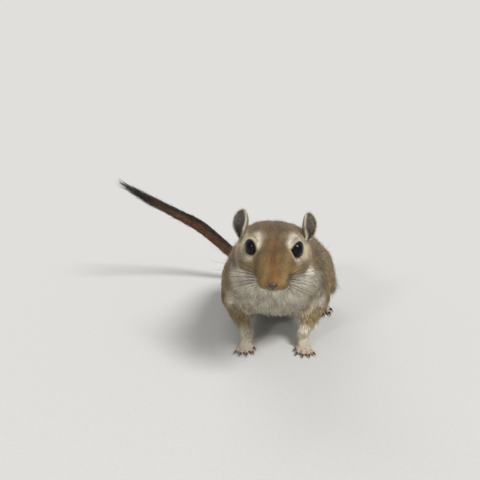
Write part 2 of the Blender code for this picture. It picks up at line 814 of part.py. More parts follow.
def tail_lengths(shop):
    """The tail in lengths by node name, with a seam between each two."""
    line = tail_line()
    last = len(line) - 1
    nodes = {}
    for name, (first, end) in TAIL_LENGTHS.items():
        rows = line[round(first * last):round(end * last) + 1]
        stations = [(place, radius, radius) for place, radius in rows]
        if name == "tail_tuft":
            stations = [
                (place, radius * core, radius * core)
                for k, (place, radius) in enumerate(rows)
                for core in [1 - (1 - TUFT_CORE) * min(1, k / CORE_DROP)]
            ]
        for here, there in ((0, 1), (-1, -2)):
            place, width, height = stations[here]
            inward = (stations[there][0] - place).normalized()
            stations[here] = (place + inward * SEAM / 2, width, height)
        nodes[name] = tube(name, shop, stations, sides=TAIL_SIDES, spans=1, domes=0)
    pieces = [triangulated(piece) for piece in (nodes["tail_tuft"], *tuft_locks(shop, line))]
    nodes["tail_tuft"] = combine(pieces[0], pieces[1:], "UNION", shop)
    return nodes


def tail_block(shop):
    """A small block over what the torso form has past the root of the tail."""
    near, far = Vector(TAIL[0][0]), Vector(TAIL[1][0])
    return block("past", shop, near, far - near, TAIL_BLOCK, -SEAM / 2)


def settled(nodes, collection):
    """Names and colours the nodes, and stands the gerbil on the middle of its footprint."""
    points = [vert.co for obj in nodes.values() for vert in obj.data.vertices]
    low = Vector(min(point[axis] for point in points) for axis in range(3))
    high = Vector(max(point[axis] for point in points) for axis in range(3))
    stand = bpy.data.objects.new("gerbil_origin", None)
    stand.location = Vector((-(low.x + high.x) / 2, -(low.y + high.y) / 2, -low.z))
    collection.objects.link(stand)
    for name, obj in nodes.items():
        mesh = obj.data
        middle = sum((vert.co for vert in mesh.vertices), Vector()) / len(mesh.vertices)
        mesh.transform(Matrix.Translation(-middle))
        mesh.name = name
        mesh.materials.clear()
        mesh.materials.append(finish_of(name))
        mesh.shade_smooth()
        obj.name = name
        obj.location = middle
        obj.parent = stand
        move_to(obj, collection)


def main():
    """Builds every node of the gerbil."""
    clear_scene()
    shop = new_collection("shop", rendered=False)
    body = whole_body(shop)
    rear = beyond(copy_of(body, "rear", shop), shop, HEAD_PLANE, -SPARE)
    head = beyond(body, shop, flipped(HEAD_PLANE), -SPARE)
    gap = SEAM / 2
    nodes = {}
    stumps = []
    for name, side in SIDES.items():
        shell = ear_shell(shop, side)
        plane = ear_plane(side)
        stumps.append(beyond(copy_of(shell, "stump", shop), shop, flipped(plane), gap))
        nodes[f"ear_{name}"] = beyond(shell, shop, plane, gap)
        centre, radii = on_side(EYE_CENTRE, side), [EYE_RADIUS] * 3
        nodes[f"eye_{name}"] = ball(f"eye_{name}", shop, centre, radii, HEAD_PLACE, EYE_MESH)
    head = beyond(thinned(head, shop, HEAD_TRIANGLES), shop, flipped(HEAD_PLANE), gap)
    nodes["head"] = finished_head(head, stumps, shop)
    rear = thinned(rear, shop, REAR_TRIANGLES)
    rear = combine(rear, [tail_block(shop)], "DIFFERENCE", shop)
    rear = beyond(rear, shop, HEAD_PLANE, gap)
    neck = beyond(copy_of(rear, "neck", shop), shop, flipped(NECK_PLANE), gap)
    for side in SIDES.values():
        neck = combine(neck, [zone(shop, fore_leg, side, gap)], "DIFFERENCE", shop)
    nodes["neck"] = neck
    rear_parts = part_legs(rear, shop)
    rear_parts["torso"] = beyond(rear_parts["torso"], shop, NECK_PLANE, gap)
    nodes.update(rear_parts)
    nodes.update(feet(shop))
    nodes.update(tail_lengths(shop))
    settled(nodes, new_collection(COLLECTION))


if __name__ == "__main__":
    main()
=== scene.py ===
"""A Mongolian gerbil as a still, life-size model: skin, coat, eyes, ears, claws and whiskers.

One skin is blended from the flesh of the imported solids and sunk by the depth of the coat.
Tufts of solid mesh grow from it along the lie of the fur, and carry the skin's markings.
The head's own frame has its origin midway between the eyes, +Y back and +Z up. Lengths
in that frame and in the sizes below are millimetres; objects are in metres.
"""
from __future__ import annotations

import logging
import math
from dataclasses import dataclass, field
from enum import Enum

import bmesh
import bpy
import numpy as np
from bpy.types import Material, Mesh, Node, NodeSocket, NodeTree, Object
from mathutils import Matrix, Vector
from mathutils.bvhtree import BVHTree
from mathutils.kdtree import KDTree

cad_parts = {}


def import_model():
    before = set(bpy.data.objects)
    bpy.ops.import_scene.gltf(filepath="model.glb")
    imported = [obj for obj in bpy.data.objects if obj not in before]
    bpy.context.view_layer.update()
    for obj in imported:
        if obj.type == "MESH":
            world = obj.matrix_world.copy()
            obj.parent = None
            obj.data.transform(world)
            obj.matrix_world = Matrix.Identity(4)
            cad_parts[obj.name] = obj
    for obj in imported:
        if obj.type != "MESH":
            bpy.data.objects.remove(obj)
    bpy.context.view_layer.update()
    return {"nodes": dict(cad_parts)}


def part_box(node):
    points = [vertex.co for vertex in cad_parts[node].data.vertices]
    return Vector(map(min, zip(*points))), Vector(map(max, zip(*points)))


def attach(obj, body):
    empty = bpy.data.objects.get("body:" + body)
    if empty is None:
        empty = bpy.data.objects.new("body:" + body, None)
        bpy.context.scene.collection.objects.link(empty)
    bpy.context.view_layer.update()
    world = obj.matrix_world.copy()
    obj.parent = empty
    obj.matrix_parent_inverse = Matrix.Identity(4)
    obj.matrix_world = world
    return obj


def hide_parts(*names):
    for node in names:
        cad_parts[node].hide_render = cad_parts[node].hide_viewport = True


Array = np.ndarray
LOG = logging.getLogger("gerbil")
MM = 0.001
BODY = "root"
BAKE_MAP = "OFBake"
TUFT_PATCH = 0.003  # A tuft's size in the map
PIECE_TRIANGLES = 190_000  # The most in one piece of the coat
TRACE = 0.02  # A share too small to count
RAY_START = 2e-5  # Metres under the skin
SIDES = {"left": 1, "right": -1}


class Region(Enum):
    """The parts of the body that set the coat's length and lie."""

    HEAD = "head"
    NECK = "neck"
    TORSO = "torso"
    FORELEG = "foreleg"
    THIGH = "thigh"
    FOREFOOT = "forefoot"
    HINDFOOT = "hindfoot"
    TAIL = "tail"


REGIONS = list(Region)


class Mark(Enum):
    """The markings that skin and coat share, each a value from 0 to 1 at every point."""

    GINGER = "ginger"
    OCHRE = "ochre"
    BEIGE = "beige"
    CREAM = "cream"
    RUST = "rust"
    BLACK = "black"
    BARE = "bare"
    # SHADE is painted shade: umber in the mouth line, the lip's split, the eye sockets and round the nose
    # pad, where no fur grows
    SHADE = "shade"


def unit(rows: Array) -> Array:
    """The rows as unit vectors."""
    return rows / np.maximum(np.linalg.norm(rows, axis=-1, keepdims=True), 1e-12)


def ease(values: Array, low: float | Array, high: float | Array) -> Array:
    """Goes smoothly from 0 at low to 1 at high, where high may also be the smaller of the two."""
    share = np.clip((values - low) / (high - low), 0.0, 1.0)
    return share * share * (3.0 - 2.0 * share)


def band(values: Array, middle: float | Array, width: float | Array) -> Array:
    """A soft band: 1 at its middle, about a third at its width to either side."""
    return np.exp(-(((values - middle) / width) ** 2))


def graded(values: Array, stations: tuple) -> Array:
    """Amounts at the values, from stations that each give a value and an amount."""
    return np.interp(values, *np.array(stations, float).T)


def folded(points: Array) -> Array:
    """The points with the right side laid over the left."""
    return np.stack([np.abs(points[:, 0]), points[:, 1], points[:, 2]], 1)


def moved(points: Array, matrix: Matrix) -> Array:
    """The points moved by the matrix."""
    turn = np.array(matrix)
    return points @ turn[:3, :3].T + turn[:3, 3]


def laid(ways: Array, normals: Array) -> Array:
    """Directions laid on a surface, as unit vectors."""
    return unit(ways - normals * (ways * normals).sum(1, keepdims=True))


def share_of(weights: Array, *regions: Region) -> Array:
    """How much each point belongs to those regions together."""
    return weights[:, [REGIONS.index(region) for region in regions]].sum(1)


@dataclass(frozen=True)
class Spot:
    """A soft spot: its strength at its middle, about a third of that at its radii."""

    middle: tuple
    radii: tuple
    strength: float = 1.0

    def on(self, points: Array) -> Array:
        """How much of the spot each point has."""
        away = (points - np.array(self.middle)) / np.array(self.radii)
        return self.strength * np.exp(-(away**2).sum(1))


def ripple(points: Array, size: float, seed: int, waves: int = 7) -> Array:
    """A smooth random field of about -1 to 1.

    Args:
        points: Places, one a row.
        size: The field's grain, in the unit of the places.
        seed: Which field.
        waves: How many waves are added.

    Returns:
        One value for each place.
    """
    draw = np.random.default_rng(seed)
    total = np.zeros(len(points))
    for _ in range(waves):
        way = unit(draw.normal(size=3)) * draw.uniform(0.6, 1.5) * math.tau / (2.5 * size)
        total += np.sin(points @ way + draw.uniform(0, math.tau))
    return total / math.sqrt(waves) * 0.8


def spread(values: Array, edges: Array, steps: int, factor: float | Array = 0.5) -> Array:
    """Averages values over a mesh's edges.

    Args:
        values: One row for each vertex.
        edges: Pairs of vertices.
        steps: How many times.
        factor: How far each value goes to its neighbours' mean, for all or for each.

    Returns:
        The averaged values.
    """
    count = len(values)
    flat = values.reshape(count, -1).astype(float)
    one, two = edges[:, 0], edges[:, 1]
    degree = np.maximum(np.bincount(one, minlength=count) + np.bincount(two, minlength=count), 1)
    share = np.broadcast_to(np.asarray(factor, float), (count,))
    for _ in range(steps):
        for column in range(flat.shape[1]):
            near = flat[:, column]
            total = np.bincount(one, near[two], count) + np.bincount(two, near[one], count)
            flat[:, column] = near + share * (total / degree - near)
    return flat.reshape(values.shape)


def curve_through(points: Array, spans: int) -> Array:
    """A smooth curve through the given rows.

    Args:
        points: The rows, each a place or another set of values.
        spans: How many steps lie between two of them.

    Returns:
        The curve's rows.
    """
    rows = np.vstack([2 * points[0] - points[1], points, 2 * points[-1] - points[-2]])
    made = []
    for a, b, c, d in zip(rows, rows[1:], rows[2:], rows[3:]):
        for t in np.arange(spans) / spans:
            bend = (2 * a - 5 * b + 4 * c - d) * t**2 + (3 * b - a - 3 * c + d) * t**3
            made.append(0.5 * (2 * b + (c - a) * t + bend))
    return np.array([*made, points[-1]])


@dataclass(frozen=True)
class HeadPlace:
    """Where the head is and how it is held."""

    pitch: float = math.radians(16)
    roll: float = math.radians(2.6)
    eye_spread: float = 7.7
    eye_radius: float = 3.3
    eye_axis: tuple = (0.70, -0.66, 0.27)

    def middle(self) -> Vector:
        """The point midway between the eyes, in metres."""
        return sum((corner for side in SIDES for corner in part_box(f"eye_{side}")), Vector()) / 4

    def floor(self) -> Array:
        """The point of the floor under the eyes' middle, in metres."""
        middle = self.middle()
        return np.array((middle.x, middle.y, 0.0))

    def matrix(self) -> Matrix:
        """From the head's frame, in millimetres, to the world's, in metres."""
        turn = Matrix.Rotation(self.pitch, 4, "X") @ Matrix.Rotation(self.roll, 4, "Y")
        return Matrix.Translation(self.middle()) @ turn @ Matrix.Scale(MM, 4)

    def local(self, points: Array) -> Array:
        """World points in the head's frame, in millimetres."""
        return moved(points, self.matrix().inverted())

    def world(self, points: Array) -> Array:
        """Points of the head's frame in the world, in metres."""
        return moved(points, self.matrix())

    def turned(self, rows: Array) -> Array:
        """Directions of the head's frame in the world."""
        return unit(rows @ np.array(self.matrix())[:3, :3].T)

    def from_eye(self, local: Array, side: int) -> Array:
        """How far each point of the head's frame is from the middle of the eye on that side."""
        return np.linalg.norm(local - (side * self.eye_spread, 0, 0), axis=1)

    def nearest_eye(self, local: Array) -> Array:
        """How far each point of the head's frame is from the middle of the nearer eye."""
        return np.minimum(*(self.from_eye(local, side) for side in SIDES.values()))


@dataclass(frozen=True)
class TailLine:
    """The tail's middle line, from its root, in the frame of the floor under the eyes."""

    stations: tuple = (
        (1.2, 106.0, 15.6), (-5.0, 110.0, 14.5), (-13.0, 111.8, 14.4), (-22.5, 112.4, 16.2),
        (-31.5, 112.8, 23.4), (-40.1, 112.0, 30.9), (-50.5, 109.5, 37.6), (-60.0, 106.5, 43.3),
        (-69.0, 103.2, 49.3), (-76.5, 99.8, 54.6), (-81.8, 97.0, 58.4),
    )
    spans: int = 8
    at_once: int = 20_000

    def points(self, head: HeadPlace) -> Array:
        """The line's points in the world, in metres."""
        return curve_through(np.array(self.stations), self.spans) * MM + head.floor()

    def nearest(self, points: Array, head: HeadPlace) -> tuple[Array, Array]:
        """How far along the line points lie.

        Args:
            points: World places.
            head: Where the head is.

        Returns:
            The share of the line at each point, from 0 to 1, and the line's way there.
        """
        line = self.points(head)
        ways = unit(np.gradient(line, axis=0))
        found = np.empty(len(points), int)
        for start in range(0, len(points), self.at_once):
            part = points[start:start + self.at_once]
            gaps = ((part[:, None] - line[None]) ** 2).sum(2)
            found[start:start + len(part)] = gaps.argmin(1)
        return found / (len(line) - 1), ways[found]


@dataclass
class Ground:
    """A surface that tufts grow from, as arrays over its vertices and triangles.

    Patches are the places of the triangles' corners in the UV map. Weights are how much each
    vertex belongs to each region, and raised is how much of its usual lift the fur has there.
    """

    points: Array
    normals: Array
    triangles: Array
    patches: Array
    lie: Array
    length: Array
    marks: dict[str, Array]
    ticking: Array
    weights: Array
    raised: Array


def small_ground(
    obj: Object, way: Array, length: Array, marks: dict, share: Array,
    ticking: float = 0.05, raised: float = 1.0,
) -> Ground:
    """A ground from a small piece, unwrapped on the way, that one kind of fur grows on.

    Args:
        obj: The piece.
        way: Which way the fur runs at each vertex, before it is laid on the surface.
        length: The fur's length there, in millimetres.
        marks: The marks that aren't 0, by name.
        share: How densely the fur stands.
        ticking: How much of it has dark tips.
        raised: How much of its usual lift it has.

    Returns:
        The ground.
    """
    loops_uv = unwrapped(obj)
    points, normals, triangles, loops = mesh_arrays(obj.data)
    zero = np.zeros(len(points))
    weights = np.zeros((len(points), len(REGIONS)))
    weights[:, REGIONS.index(Region.HEAD)] = share
    every = {mark.value: marks.get(mark, zero) for mark in Mark}
    for name, values in every.items():
        add_values(obj.data, name, values)
    return Ground(
        points, normals, triangles, loops_uv[loops], laid(way, normals), length, every, zero + ticking,
        weights, zero + raised,
    )


def read(items: bpy.types.bpy_prop_collection, name: str, width: int, kind: type = np.float32) -> Array:
    """Reads one property of all of a mesh's items.

    Args:
        items: The vertices, edges or other items.
        name: The property's name.
        width: How many values it has.
        kind: What its values are.

    Returns:
        The values, a row for each item.
    """
    found = np.empty(len(items) * width, kind)
    items.foreach_get(name, found)
    return found.reshape(-1, width)


def mesh_arrays(mesh: Mesh) -> tuple[Array, Array, Array, Array]:
    """A mesh as arrays.

    Args:
        mesh: The mesh.

    Returns:
        Its vertices, their normals, its triangles and their loops.
    """
    points = read(mesh.vertices, "co", 3).astype(float)
    normals = read(mesh.vertex_normals, "vector", 3).astype(float)
    mesh.calc_loop_triangles()
    corners, loops = (read(mesh.loop_triangles, name, 3, np.int32) for name in ("vertices", "loops"))
    return points, normals, corners, loops


def edges_of(mesh: Mesh) -> Array:
    """A mesh's edges as pairs of vertices."""
    return read(mesh.edges, "vertices", 2, np.int32)


def set_points(mesh: Mesh, points: Array) -> None:
    """Moves a mesh's vertices."""
    mesh.vertices.foreach_set("co", points.astype(np.float32).ravel())
    mesh.update()


def add_values(mesh: Mesh, name: str, values: Array) -> None:
    """Gives a mesh one value a vertex, for its material."""
    made = mesh.attributes.new(name, "FLOAT", "POINT")
    made.data.foreach_set("value", values.astype(np.float32))


def mesh_from(name: str, points: Array, faces: Array) -> Mesh:
    """A smooth-shaded mesh from points and equal-sided faces.

    Args:
        name: The mesh's name.
        points: Its vertices, in metres.
        faces: The vertices of each face, one face a row.

    Returns:
        The mesh.
    """
    count, sides = faces.shape
    mesh = bpy.data.meshes.new(name)
    mesh.vertices.add(len(points))
    mesh.vertices.foreach_set("co", points.astype(np.float32).ravel())
    mesh.loops.add(count * sides)
    mesh.loops.foreach_set("vertex_index", faces.astype(np.int32).ravel())
    mesh.polygons.add(count)
    mesh.polygons.foreach_set("loop_start", np.arange(0, count * sides, sides, dtype=np.int32))
    mesh.polygons.foreach_set("use_smooth", np.ones(count, bool))
    mesh.update(calc_edges=True)
    return mesh


def object_of(name: str, mesh: Mesh) -> Object:
    """An object of the scene with that mesh.

    Args:
        name: The object's name.
        mesh: Its mesh.

    Returns:
        The object.
    """
    made = bpy.data.objects.new(name, mesh)
    bpy.context.scene.collection.objects.link(made)
    return made


def merged(name: str, parts: list[Object], grown: float = 0.0) -> tuple[Object, Array, Array, list[int]]:
    """One object from copies of several, moved out along their normals.

    Args:
        name: The object's name.
        parts: What it is made from.
        grown: How far each point moves out, in millimetres.

    Returns:
        The object, its points before they moved, its triangles, and how many each part gave.
    """
    arrays = [mesh_arrays(part.data) for part in parts]
    starts = np.cumsum([0] + [len(each[0]) for each in arrays])
    points, normals = (np.vstack([each[place] for each in arrays]) for place in (0, 1))
    faces = np.vstack([each[2] + start for each, start in zip(arrays, starts)])
    made = object_of(name, mesh_from(name, points + normals * grown * MM, faces))
    return made, points, faces, [len(each[2]) for each in arrays]


def sphere(name: str, columns: int, rows: int, radius: float) -> Mesh:
    """A ball's mesh.

    Args:
        name: The mesh's name.
        columns: How many faces it has round it.
        rows: How many it has from top to bottom.
        radius: Its radius.

    Returns:
        The mesh.
    """
    bm = bmesh.new()
    bmesh.ops.create_uvsphere(bm, u_segments=columns, v_segments=rows, radius=radius)
    mesh = bpy.data.meshes.new(name)
    bm.to_mesh(mesh)
    bm.free()
    mesh.shade_smooth()
    return mesh


def applied(obj: Object) -> Object:
    """Applies an object's modifiers to its mesh.

    Args:
        obj: The object.

    Returns:
        The same object.
    """
    bpy.context.view_layer.update()
    shown = obj.evaluated_get(bpy.context.evaluated_depsgraph_get())
    mesh = bpy.data.meshes.new_from_object(shown)
    obj.modifiers.clear()
    spent, obj.data = obj.data, mesh
    bpy.data.meshes.remove(spent)
    return obj


def made_even(obj: Object, grain: float) -> None:
    """Makes the object's surface even.

    Args:
        obj: The object.
        grain: The surface's grain, in millimetres.
    """
    step = obj.modifiers.new("even", "REMESH")
    step.mode = "VOXEL"
    step.voxel_size = grain * MM
    step.use_smooth_shade = True
    applied(obj)


def unwrapped(obj: Object) -> Array:
    """Unwraps the object.

    Args:
        obj: The object.

    Returns:
        The place of every loop in the map.
    """
    obj.data.uv_layers.new(name=BAKE_MAP)
    bpy.ops.object.select_all(action="DESELECT")
    obj.select_set(True)
    bpy.context.view_layer.objects.active = obj
    bpy.ops.object.mode_set(mode="EDIT")
    bpy.ops.mesh.select_all(action="SELECT")
    bpy.ops.uv.smart_project(angle_limit=math.radians(66), island_margin=0.002)
    bpy.ops.object.mode_set(mode="OBJECT")
    return read(obj.data.uv_layers[BAKE_MAP].data, "uv", 2)


def placed(obj: Object, finish: Finish, slot: str, *nodes: str) -> None:
    """Finishes an object and sets it on the body.

    Args:
        obj: The object.
        finish: Its finish.
        slot: A name for the kind of surface; not used.
        nodes: The nodes of the frame that the object stands for.
    """
    obj.data.materials.clear()
    obj.data.materials.append(finish.make())
    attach(obj, BODY)
    if nodes:
        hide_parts(*nodes)
    LOG.info("%s: %d faces", obj.name, len(obj.data.polygons))


class Shader:
    """A node tree with short ways to add nodes and join them."""

    def __init__(self, tree: NodeTree) -> None:
        """Keeps the material's or group's node tree."""
        self.tree = tree

    def add(self, kind: str, settings: dict | None = None, **inputs: object) -> Node:
        """Adds a node.

        Args:
            kind: The node's type, without its ShaderNode prefix.
            settings: The node's own properties.
            inputs: Its sockets by name, with _ for a blank, or i0, i1 ... by place; a
                socket is linked and anything else is a value.

        Returns:
            The node.
        """
        node = self.tree.nodes.new("ShaderNode" + kind)
        for name, value in (settings or {}).items():
            setattr(node, name, value)
        for name, value in inputs.items():
            at = int(name[1:]) if name[0] == "i" and name[1:].isdigit() else name.replace("_", " ")
            if isinstance(value, NodeSocket):
                self.tree.links.new(value, node.inputs[at])
            else:
                node.inputs[at].default_value = value
        return node

    def value(self, name: str) -> NodeSocket:
        """The mesh's values of that name."""
        return self.add("Attribute", {"attribute_name": name}).outputs["Fac"]

    def maths(self, operation: str, *values: object, clamp: bool = False) -> NodeSocket:
        """The result of a Math node."""
        inputs = {f"i{place}": value for place, value in enumerate(values)}
        return self.add("Math", {"operation": operation, "use_clamp": clamp}, **inputs).outputs[0]

    def mix(self, share: object, first: object, second: object, blend: str = "MIX") -> NodeSocket:
        """A mix of two colours."""
        settings = {"data_type": "RGBA", "blend_type": blend}
        return self.add("Mix", settings, i0=share, i6=first, i7=second).outputs[2]

    def dimmed(self, colour: object, bright: NodeSocket) -> NodeSocket:
        """The colour times a brightness that changes over the surface."""
        grey = self.add("CombineColor", i0=bright, i1=bright, i2=bright).outputs[0]
        return self.mix(1.0, colour, grey, "MULTIPLY")

    def ramp(self, share: object, low: float, high: float, to: tuple = (0.0, 1.0)) -> NodeSocket:
        """Goes smoothly between two values as share goes from low to high."""
        inputs = {"Value": share, "From_Min": low, "From_Max": high, "To_Min": to[0], "To_Max": to[1]}
        return self.add("MapRange", {"interpolation_type": "SMOOTHSTEP"}, **inputs).outputs[0]

    def noise(self, scale: float, detail: float = 3.0, stretch: tuple | None = None) -> NodeSocket:
        """Noise in the object's own space.

        Args:
            scale: Bumps a metre.
            detail: How many finer layers it has.
            stretch: The scale along each axis, if they differ.

        Returns:
            The noise, about 0.3 to 0.7.
        """
        place = self.add("TexCoord").outputs["Object"]
        if stretch:
            place = self.add("Mapping", Vector=place, Scale=stretch).outputs[0]
        return self.add("TexNoise", Vector=place, Scale=scale, Detail=detail).outputs["Fac"]

    def mottle(self, noise: NodeSocket, least: float = 0.0, most: float = 1.0) -> NodeSocket:
        """A noise spread out between two values."""
        return self.ramp(noise, 0.3, 0.7, (least, most))


def opaque(colour: tuple) -> tuple:
    """The colour with full alpha."""
    return (*colour, 1.0)


@dataclass(frozen=True)
class Palette:
    """The colours of the coat, linear."""

    sandy: tuple = (0.325, 0.208, 0.078)
    ginger: tuple = (0.290, 0.128, 0.022)
    ochre: tuple = (0.500, 0.305, 0.052)
    beige: tuple = (0.570, 0.465, 0.260)
    cream: tuple = (0.880, 0.825, 0.690)
    rust: tuple = (0.210, 0.095, 0.040)
    black: tuple = (0.022, 0.016, 0.013)
    bare: tuple = (0.520, 0.330, 0.260)
    flushed: tuple = (0.400, 0.220, 0.170)
    slate: tuple = (0.085, 0.075, 0.070)
    # umber is both the real dark tips of ticked hairs and the colour of painted shade
    umber: tuple = (0.035, 0.022, 0.014)
    patch: tuple = (0.450, 0.290, 0.120)
    order: tuple = (Mark.BEIGE, Mark.OCHRE, Mark.GINGER, Mark.CREAM, Mark.RUST, Mark.BLACK, Mark.BARE)
    name: str = "coat_markings"

    def group(self) -> NodeTree:
        """The node group that turns the marks into the colour of the coat there, made once.

        Returns:
            The group.
        """
        if self.name in bpy.data.node_groups:
            return bpy.data.node_groups[self.name]
        tree = bpy.data.node_groups.new(self.name, "ShaderNodeTree")
        tree.interface.new_socket("Colour", in_out="OUTPUT", socket_type="NodeSocketColor")
        for mark in self.order:
            tree.interface.new_socket(mark.value, in_out="INPUT", socket_type="NodeSocketFloat")
        shader = Shader(tree)
        given = tree.nodes.new("NodeGroupInput")
        colour = opaque(self.sandy)
        for mark in self.order:
            colour = shader.mix(given.outputs[mark.value], colour, opaque(getattr(self, mark.value)))
        tree.links.new(colour, tree.nodes.new("NodeGroupOutput").inputs["Colour"])
        return tree

    def colour(self, shader: Shader) -> NodeSocket:
        """The coat's colour in a material, from the mesh's marks.

        Args:
            shader: The material's tree.

        Returns:
            The colour.
        """
        node = shader.add("Group", {"node_tree": self.group()})
        for socket in node.inputs:
            shader.tree.links.new(shader.value(socket.name), socket)
        return node.outputs["Colour"]


PALETTE = Palette()


@dataclass(frozen=True)
class Finish:
    """What every finish has: a name, plain numbers on its shader, and the strength and depth of its bump."""

    name: str
    numbers: tuple = ()
    bump: tuple = (0.4, 0.0002)

    def paint(self, shader: Shader) -> tuple[NodeSocket, NodeSocket | None]:
        """The colour, and the height of the bump where it has one."""
        raise NotImplementedError

    def make(self) -> Material:
        """Makes the material, once.

        Returns:
            The material.
        """
        if self.name in bpy.data.materials:
            return bpy.data.materials[self.name]
        made = bpy.data.materials.new(self.name)
        made.use_nodes = True
        shader = Shader(made.node_tree)
        bsdf = made.node_tree.nodes["Principled BSDF"]
        colour, height = self.paint(shader)
        shader.tree.links.new(colour, bsdf.inputs["Base Color"])
        if height is not None:
            strength, depth = self.bump
            bump = shader.add("Bump", Height=height, Strength=strength, Distance=depth)
            shader.tree.links.new(bump.outputs[0], bsdf.inputs["Normal"])
        for socket, value in self.numbers:
            bsdf.inputs[socket].default_value = value
        return made

    def shaded(self, shader: Shader, colour: NodeSocket, most: float) -> NodeSocket:
        """The colour, dark where the mesh is marked as in shade."""
        shade = shader.ramp(shader.value(Mark.SHADE.value), 0.0, 1.0, (0.0, most))
        return shader.mix(shade, colour, opaque(PALETTE.umber))


@dataclass(frozen=True)
class CoatFinish(Finish):
    """Hair: slate at the root, coloured in the middle, and dark at the tip where it is ticked."""

    name: str = "coat_hair"
    numbers: tuple = (("Roughness", 0.55), ("Specular IOR Level", 0.30), ("Sheen Weight", 0.12))
    brightness: tuple = (0.62, 1.38)
    root_share: float = 0.60
    pale_root: float = 0.12
    tip_share: float = 0.88

    def paint(self, shader: Shader) -> tuple[NodeSocket, None]:
        """The hair's colour from root to tip.

        Args:
            shader: The material's tree.

        Returns:
            The colour, and no bump.
        """
        along = shader.value("along")
        bright = shader.ramp(shader.value("tone"), 0.0, 1.0, self.brightness)
        middle = shader.dimmed(PALETTE.colour(shader), bright)
        patchy = shader.ramp(shader.noise(420.0), 0.35, 0.75, (0.0, 0.28))
        middle = shader.mix(patchy, middle, opaque(PALETTE.patch), "OVERLAY")
        light = shader.maths("MAXIMUM", shader.value(Mark.CREAM.value), shader.value(Mark.BARE.value))
        coloured = shader.maths("SUBTRACT", 1.0, light, clamp=True)
        coloured = shader.ramp(coloured, 0.0, 1.0, (self.pale_root, 1.0))
        root = shader.ramp(along, 0.5, 0.05, (0.0, self.root_share))
        colour = shader.mix(shader.maths("MULTIPLY", root, coloured), middle, opaque(PALETTE.slate))
        tip = shader.ramp(along, 0.45, 0.8, (0.0, self.tip_share))
        ticked = shader.maths("MULTIPLY", tip, shader.value("tick"))
        colour = shader.mix(ticked, colour, opaque(PALETTE.umber))
        # Painted shade: umber where the SHADE mark is set
        return self.shaded(shader, colour, 0.85), None


@dataclass(frozen=True)
class SkinFinish(Finish):
    """Skin under the coat: the same markings, darker, with fine short fur as bump."""

    name: str = "skin_under_coat"
    numbers: tuple = (("Roughness", 0.70), ("Specular IOR Level", 0.25))
    bump: tuple = (0.5, 0.0004)
    depth: float = 0.62

    def paint(self, shader: Shader) -> tuple[NodeSocket, NodeSocket]:
        """The skin's colour and grain.

        Args:
            shader: The material's tree.

        Returns:
            The colour and the bump's height.
        """
        hair = PALETTE.colour(shader)
        fine = shader.noise(2600.0, 4.0)
        dark = shader.dimmed(hair, shader.maths("MULTIPLY", shader.mottle(fine, 0.45, 1.0), self.depth))
        dark = shader.mix(shader.maths("MULTIPLY", shader.value(Mark.CREAM.value), 0.6), dark, hair)
        flush = shader.ramp(shader.noise(500.0, 2.0), 0.35, 0.7, (0.0, 0.5))
        pink = shader.mix(flush, opaque(PALETTE.bare), opaque(PALETTE.flushed))
        colour = shader.mix(shader.value(Mark.BARE.value), dark, pink)
        # Painted shade: umber where the SHADE mark is set
        return self.shaded(shader, colour, 0.9), fine


@dataclass(frozen=True)
class EyeFinish(Finish):
    """A wet, near-black eye with a trace of brown round the pupil."""

    name: str = "wet_eye"
    numbers: tuple = (("Roughness", 0.05), ("IOR", 1.36), ("Specular IOR Level", 0.30))
    pupil: tuple = (0.003, 0.0028, 0.005)
    iris: tuple = (0.011, 0.006, 0.006)

    def paint(self, shader: Shader) -> tuple[NodeSocket, None]:
        """The eye's colour, and no bump."""
        cloudy = shader.maths("MULTIPLY", shader.value("iris"), shader.mottle(shader.noise(900.0), 0.5, 1.0))
        return shader.mix(cloudy, opaque(self.pupil), opaque(self.iris)), None


@dataclass(frozen=True)
class BareFinish(Finish):
    """Bare skin of the lids and the nose: mottled, softly creased, and dark with painted shade in its folds,
    the nostrils and the lid's rim.
    """

    light: tuple = (0.46, 0.38, 0.27)
    dark: tuple = (0.34, 0.27, 0.19)
    shade_in_folds: float = 0.18
    grain: float = 1500.0

    def paint(self, shader: Shader) -> tuple[NodeSocket, NodeSocket]:
        """The bare skin's colour and creases.

        Args:
            shader: The material's tree.

        Returns:
            The colour and the bump's height.
        """
        broad = shader.mottle(shader.noise(self.grain / 4))
        colour = shader.mix(broad, opaque(self.light), opaque(self.dark))
        # Painted shade: nostrils, the nose's groove and the lid's rim darken to this share of the dark tone
        folds = opaque(tuple(part * self.shade_in_folds for part in self.dark))
        return shader.mix(shader.value("deep"), colour, folds), shader.noise(self.grain, 4.0)


LID_SKIN = BareFinish("lid_skin", (("Roughness", 0.50),))
NOSE_SKIN = BareFinish(
    "nose_skin",
    (("Roughness", 0.42), ("Subsurface Weight", 0.1), ("Subsurface Radius", (0.0015, 0.0006, 0.0004))),
    light=(0.125, 0.066, 0.054), dark=(0.070, 0.038, 0.032), grain=2600.0,
)


@dataclass(frozen=True)
class EarFinish(Finish):
    """Thin ear skin: grey behind, dark inside, with a paler fold along the front edge, and near-black painted
    shade low in the cup.
    """

    name: str = "ear_skin"
    numbers: tuple = (
        ("Roughness", 0.55), ("Subsurface Weight", 0.12), ("Subsurface Radius", (0.0012, 0.0005, 0.0004)),
    )
    back: tuple = (0.190, 0.150, 0.128)
    inside: tuple = (0.115, 0.088, 0.080)
    fold: tuple = (0.360, 0.270, 0.262)
    hollow_shade: tuple = (0.016, 0.012, 0.011)

    def paint(self, shader: Shader) -> tuple[NodeSocket, NodeSocket]:
        """The ear's colour and grain.

        Args:
            shader: The material's tree.

        Returns:
            The colour and the bump's height.
        """
        colour = shader.mix(shader.value("inside"), opaque(self.back), opaque(self.inside))
        colour = shader.mix(shader.value("fold"), colour, opaque(self.fold))
        colour = shader.dimmed(colour, shader.mottle(shader.noise(700.0, 4.0), 0.72, 1.12))
        # Painted shade: near-black low in the cup, away from its front edge
        return shader.mix(shader.value("deep"), colour, opaque(self.hollow_shade)), shader.noise(2400.0, 4.0)


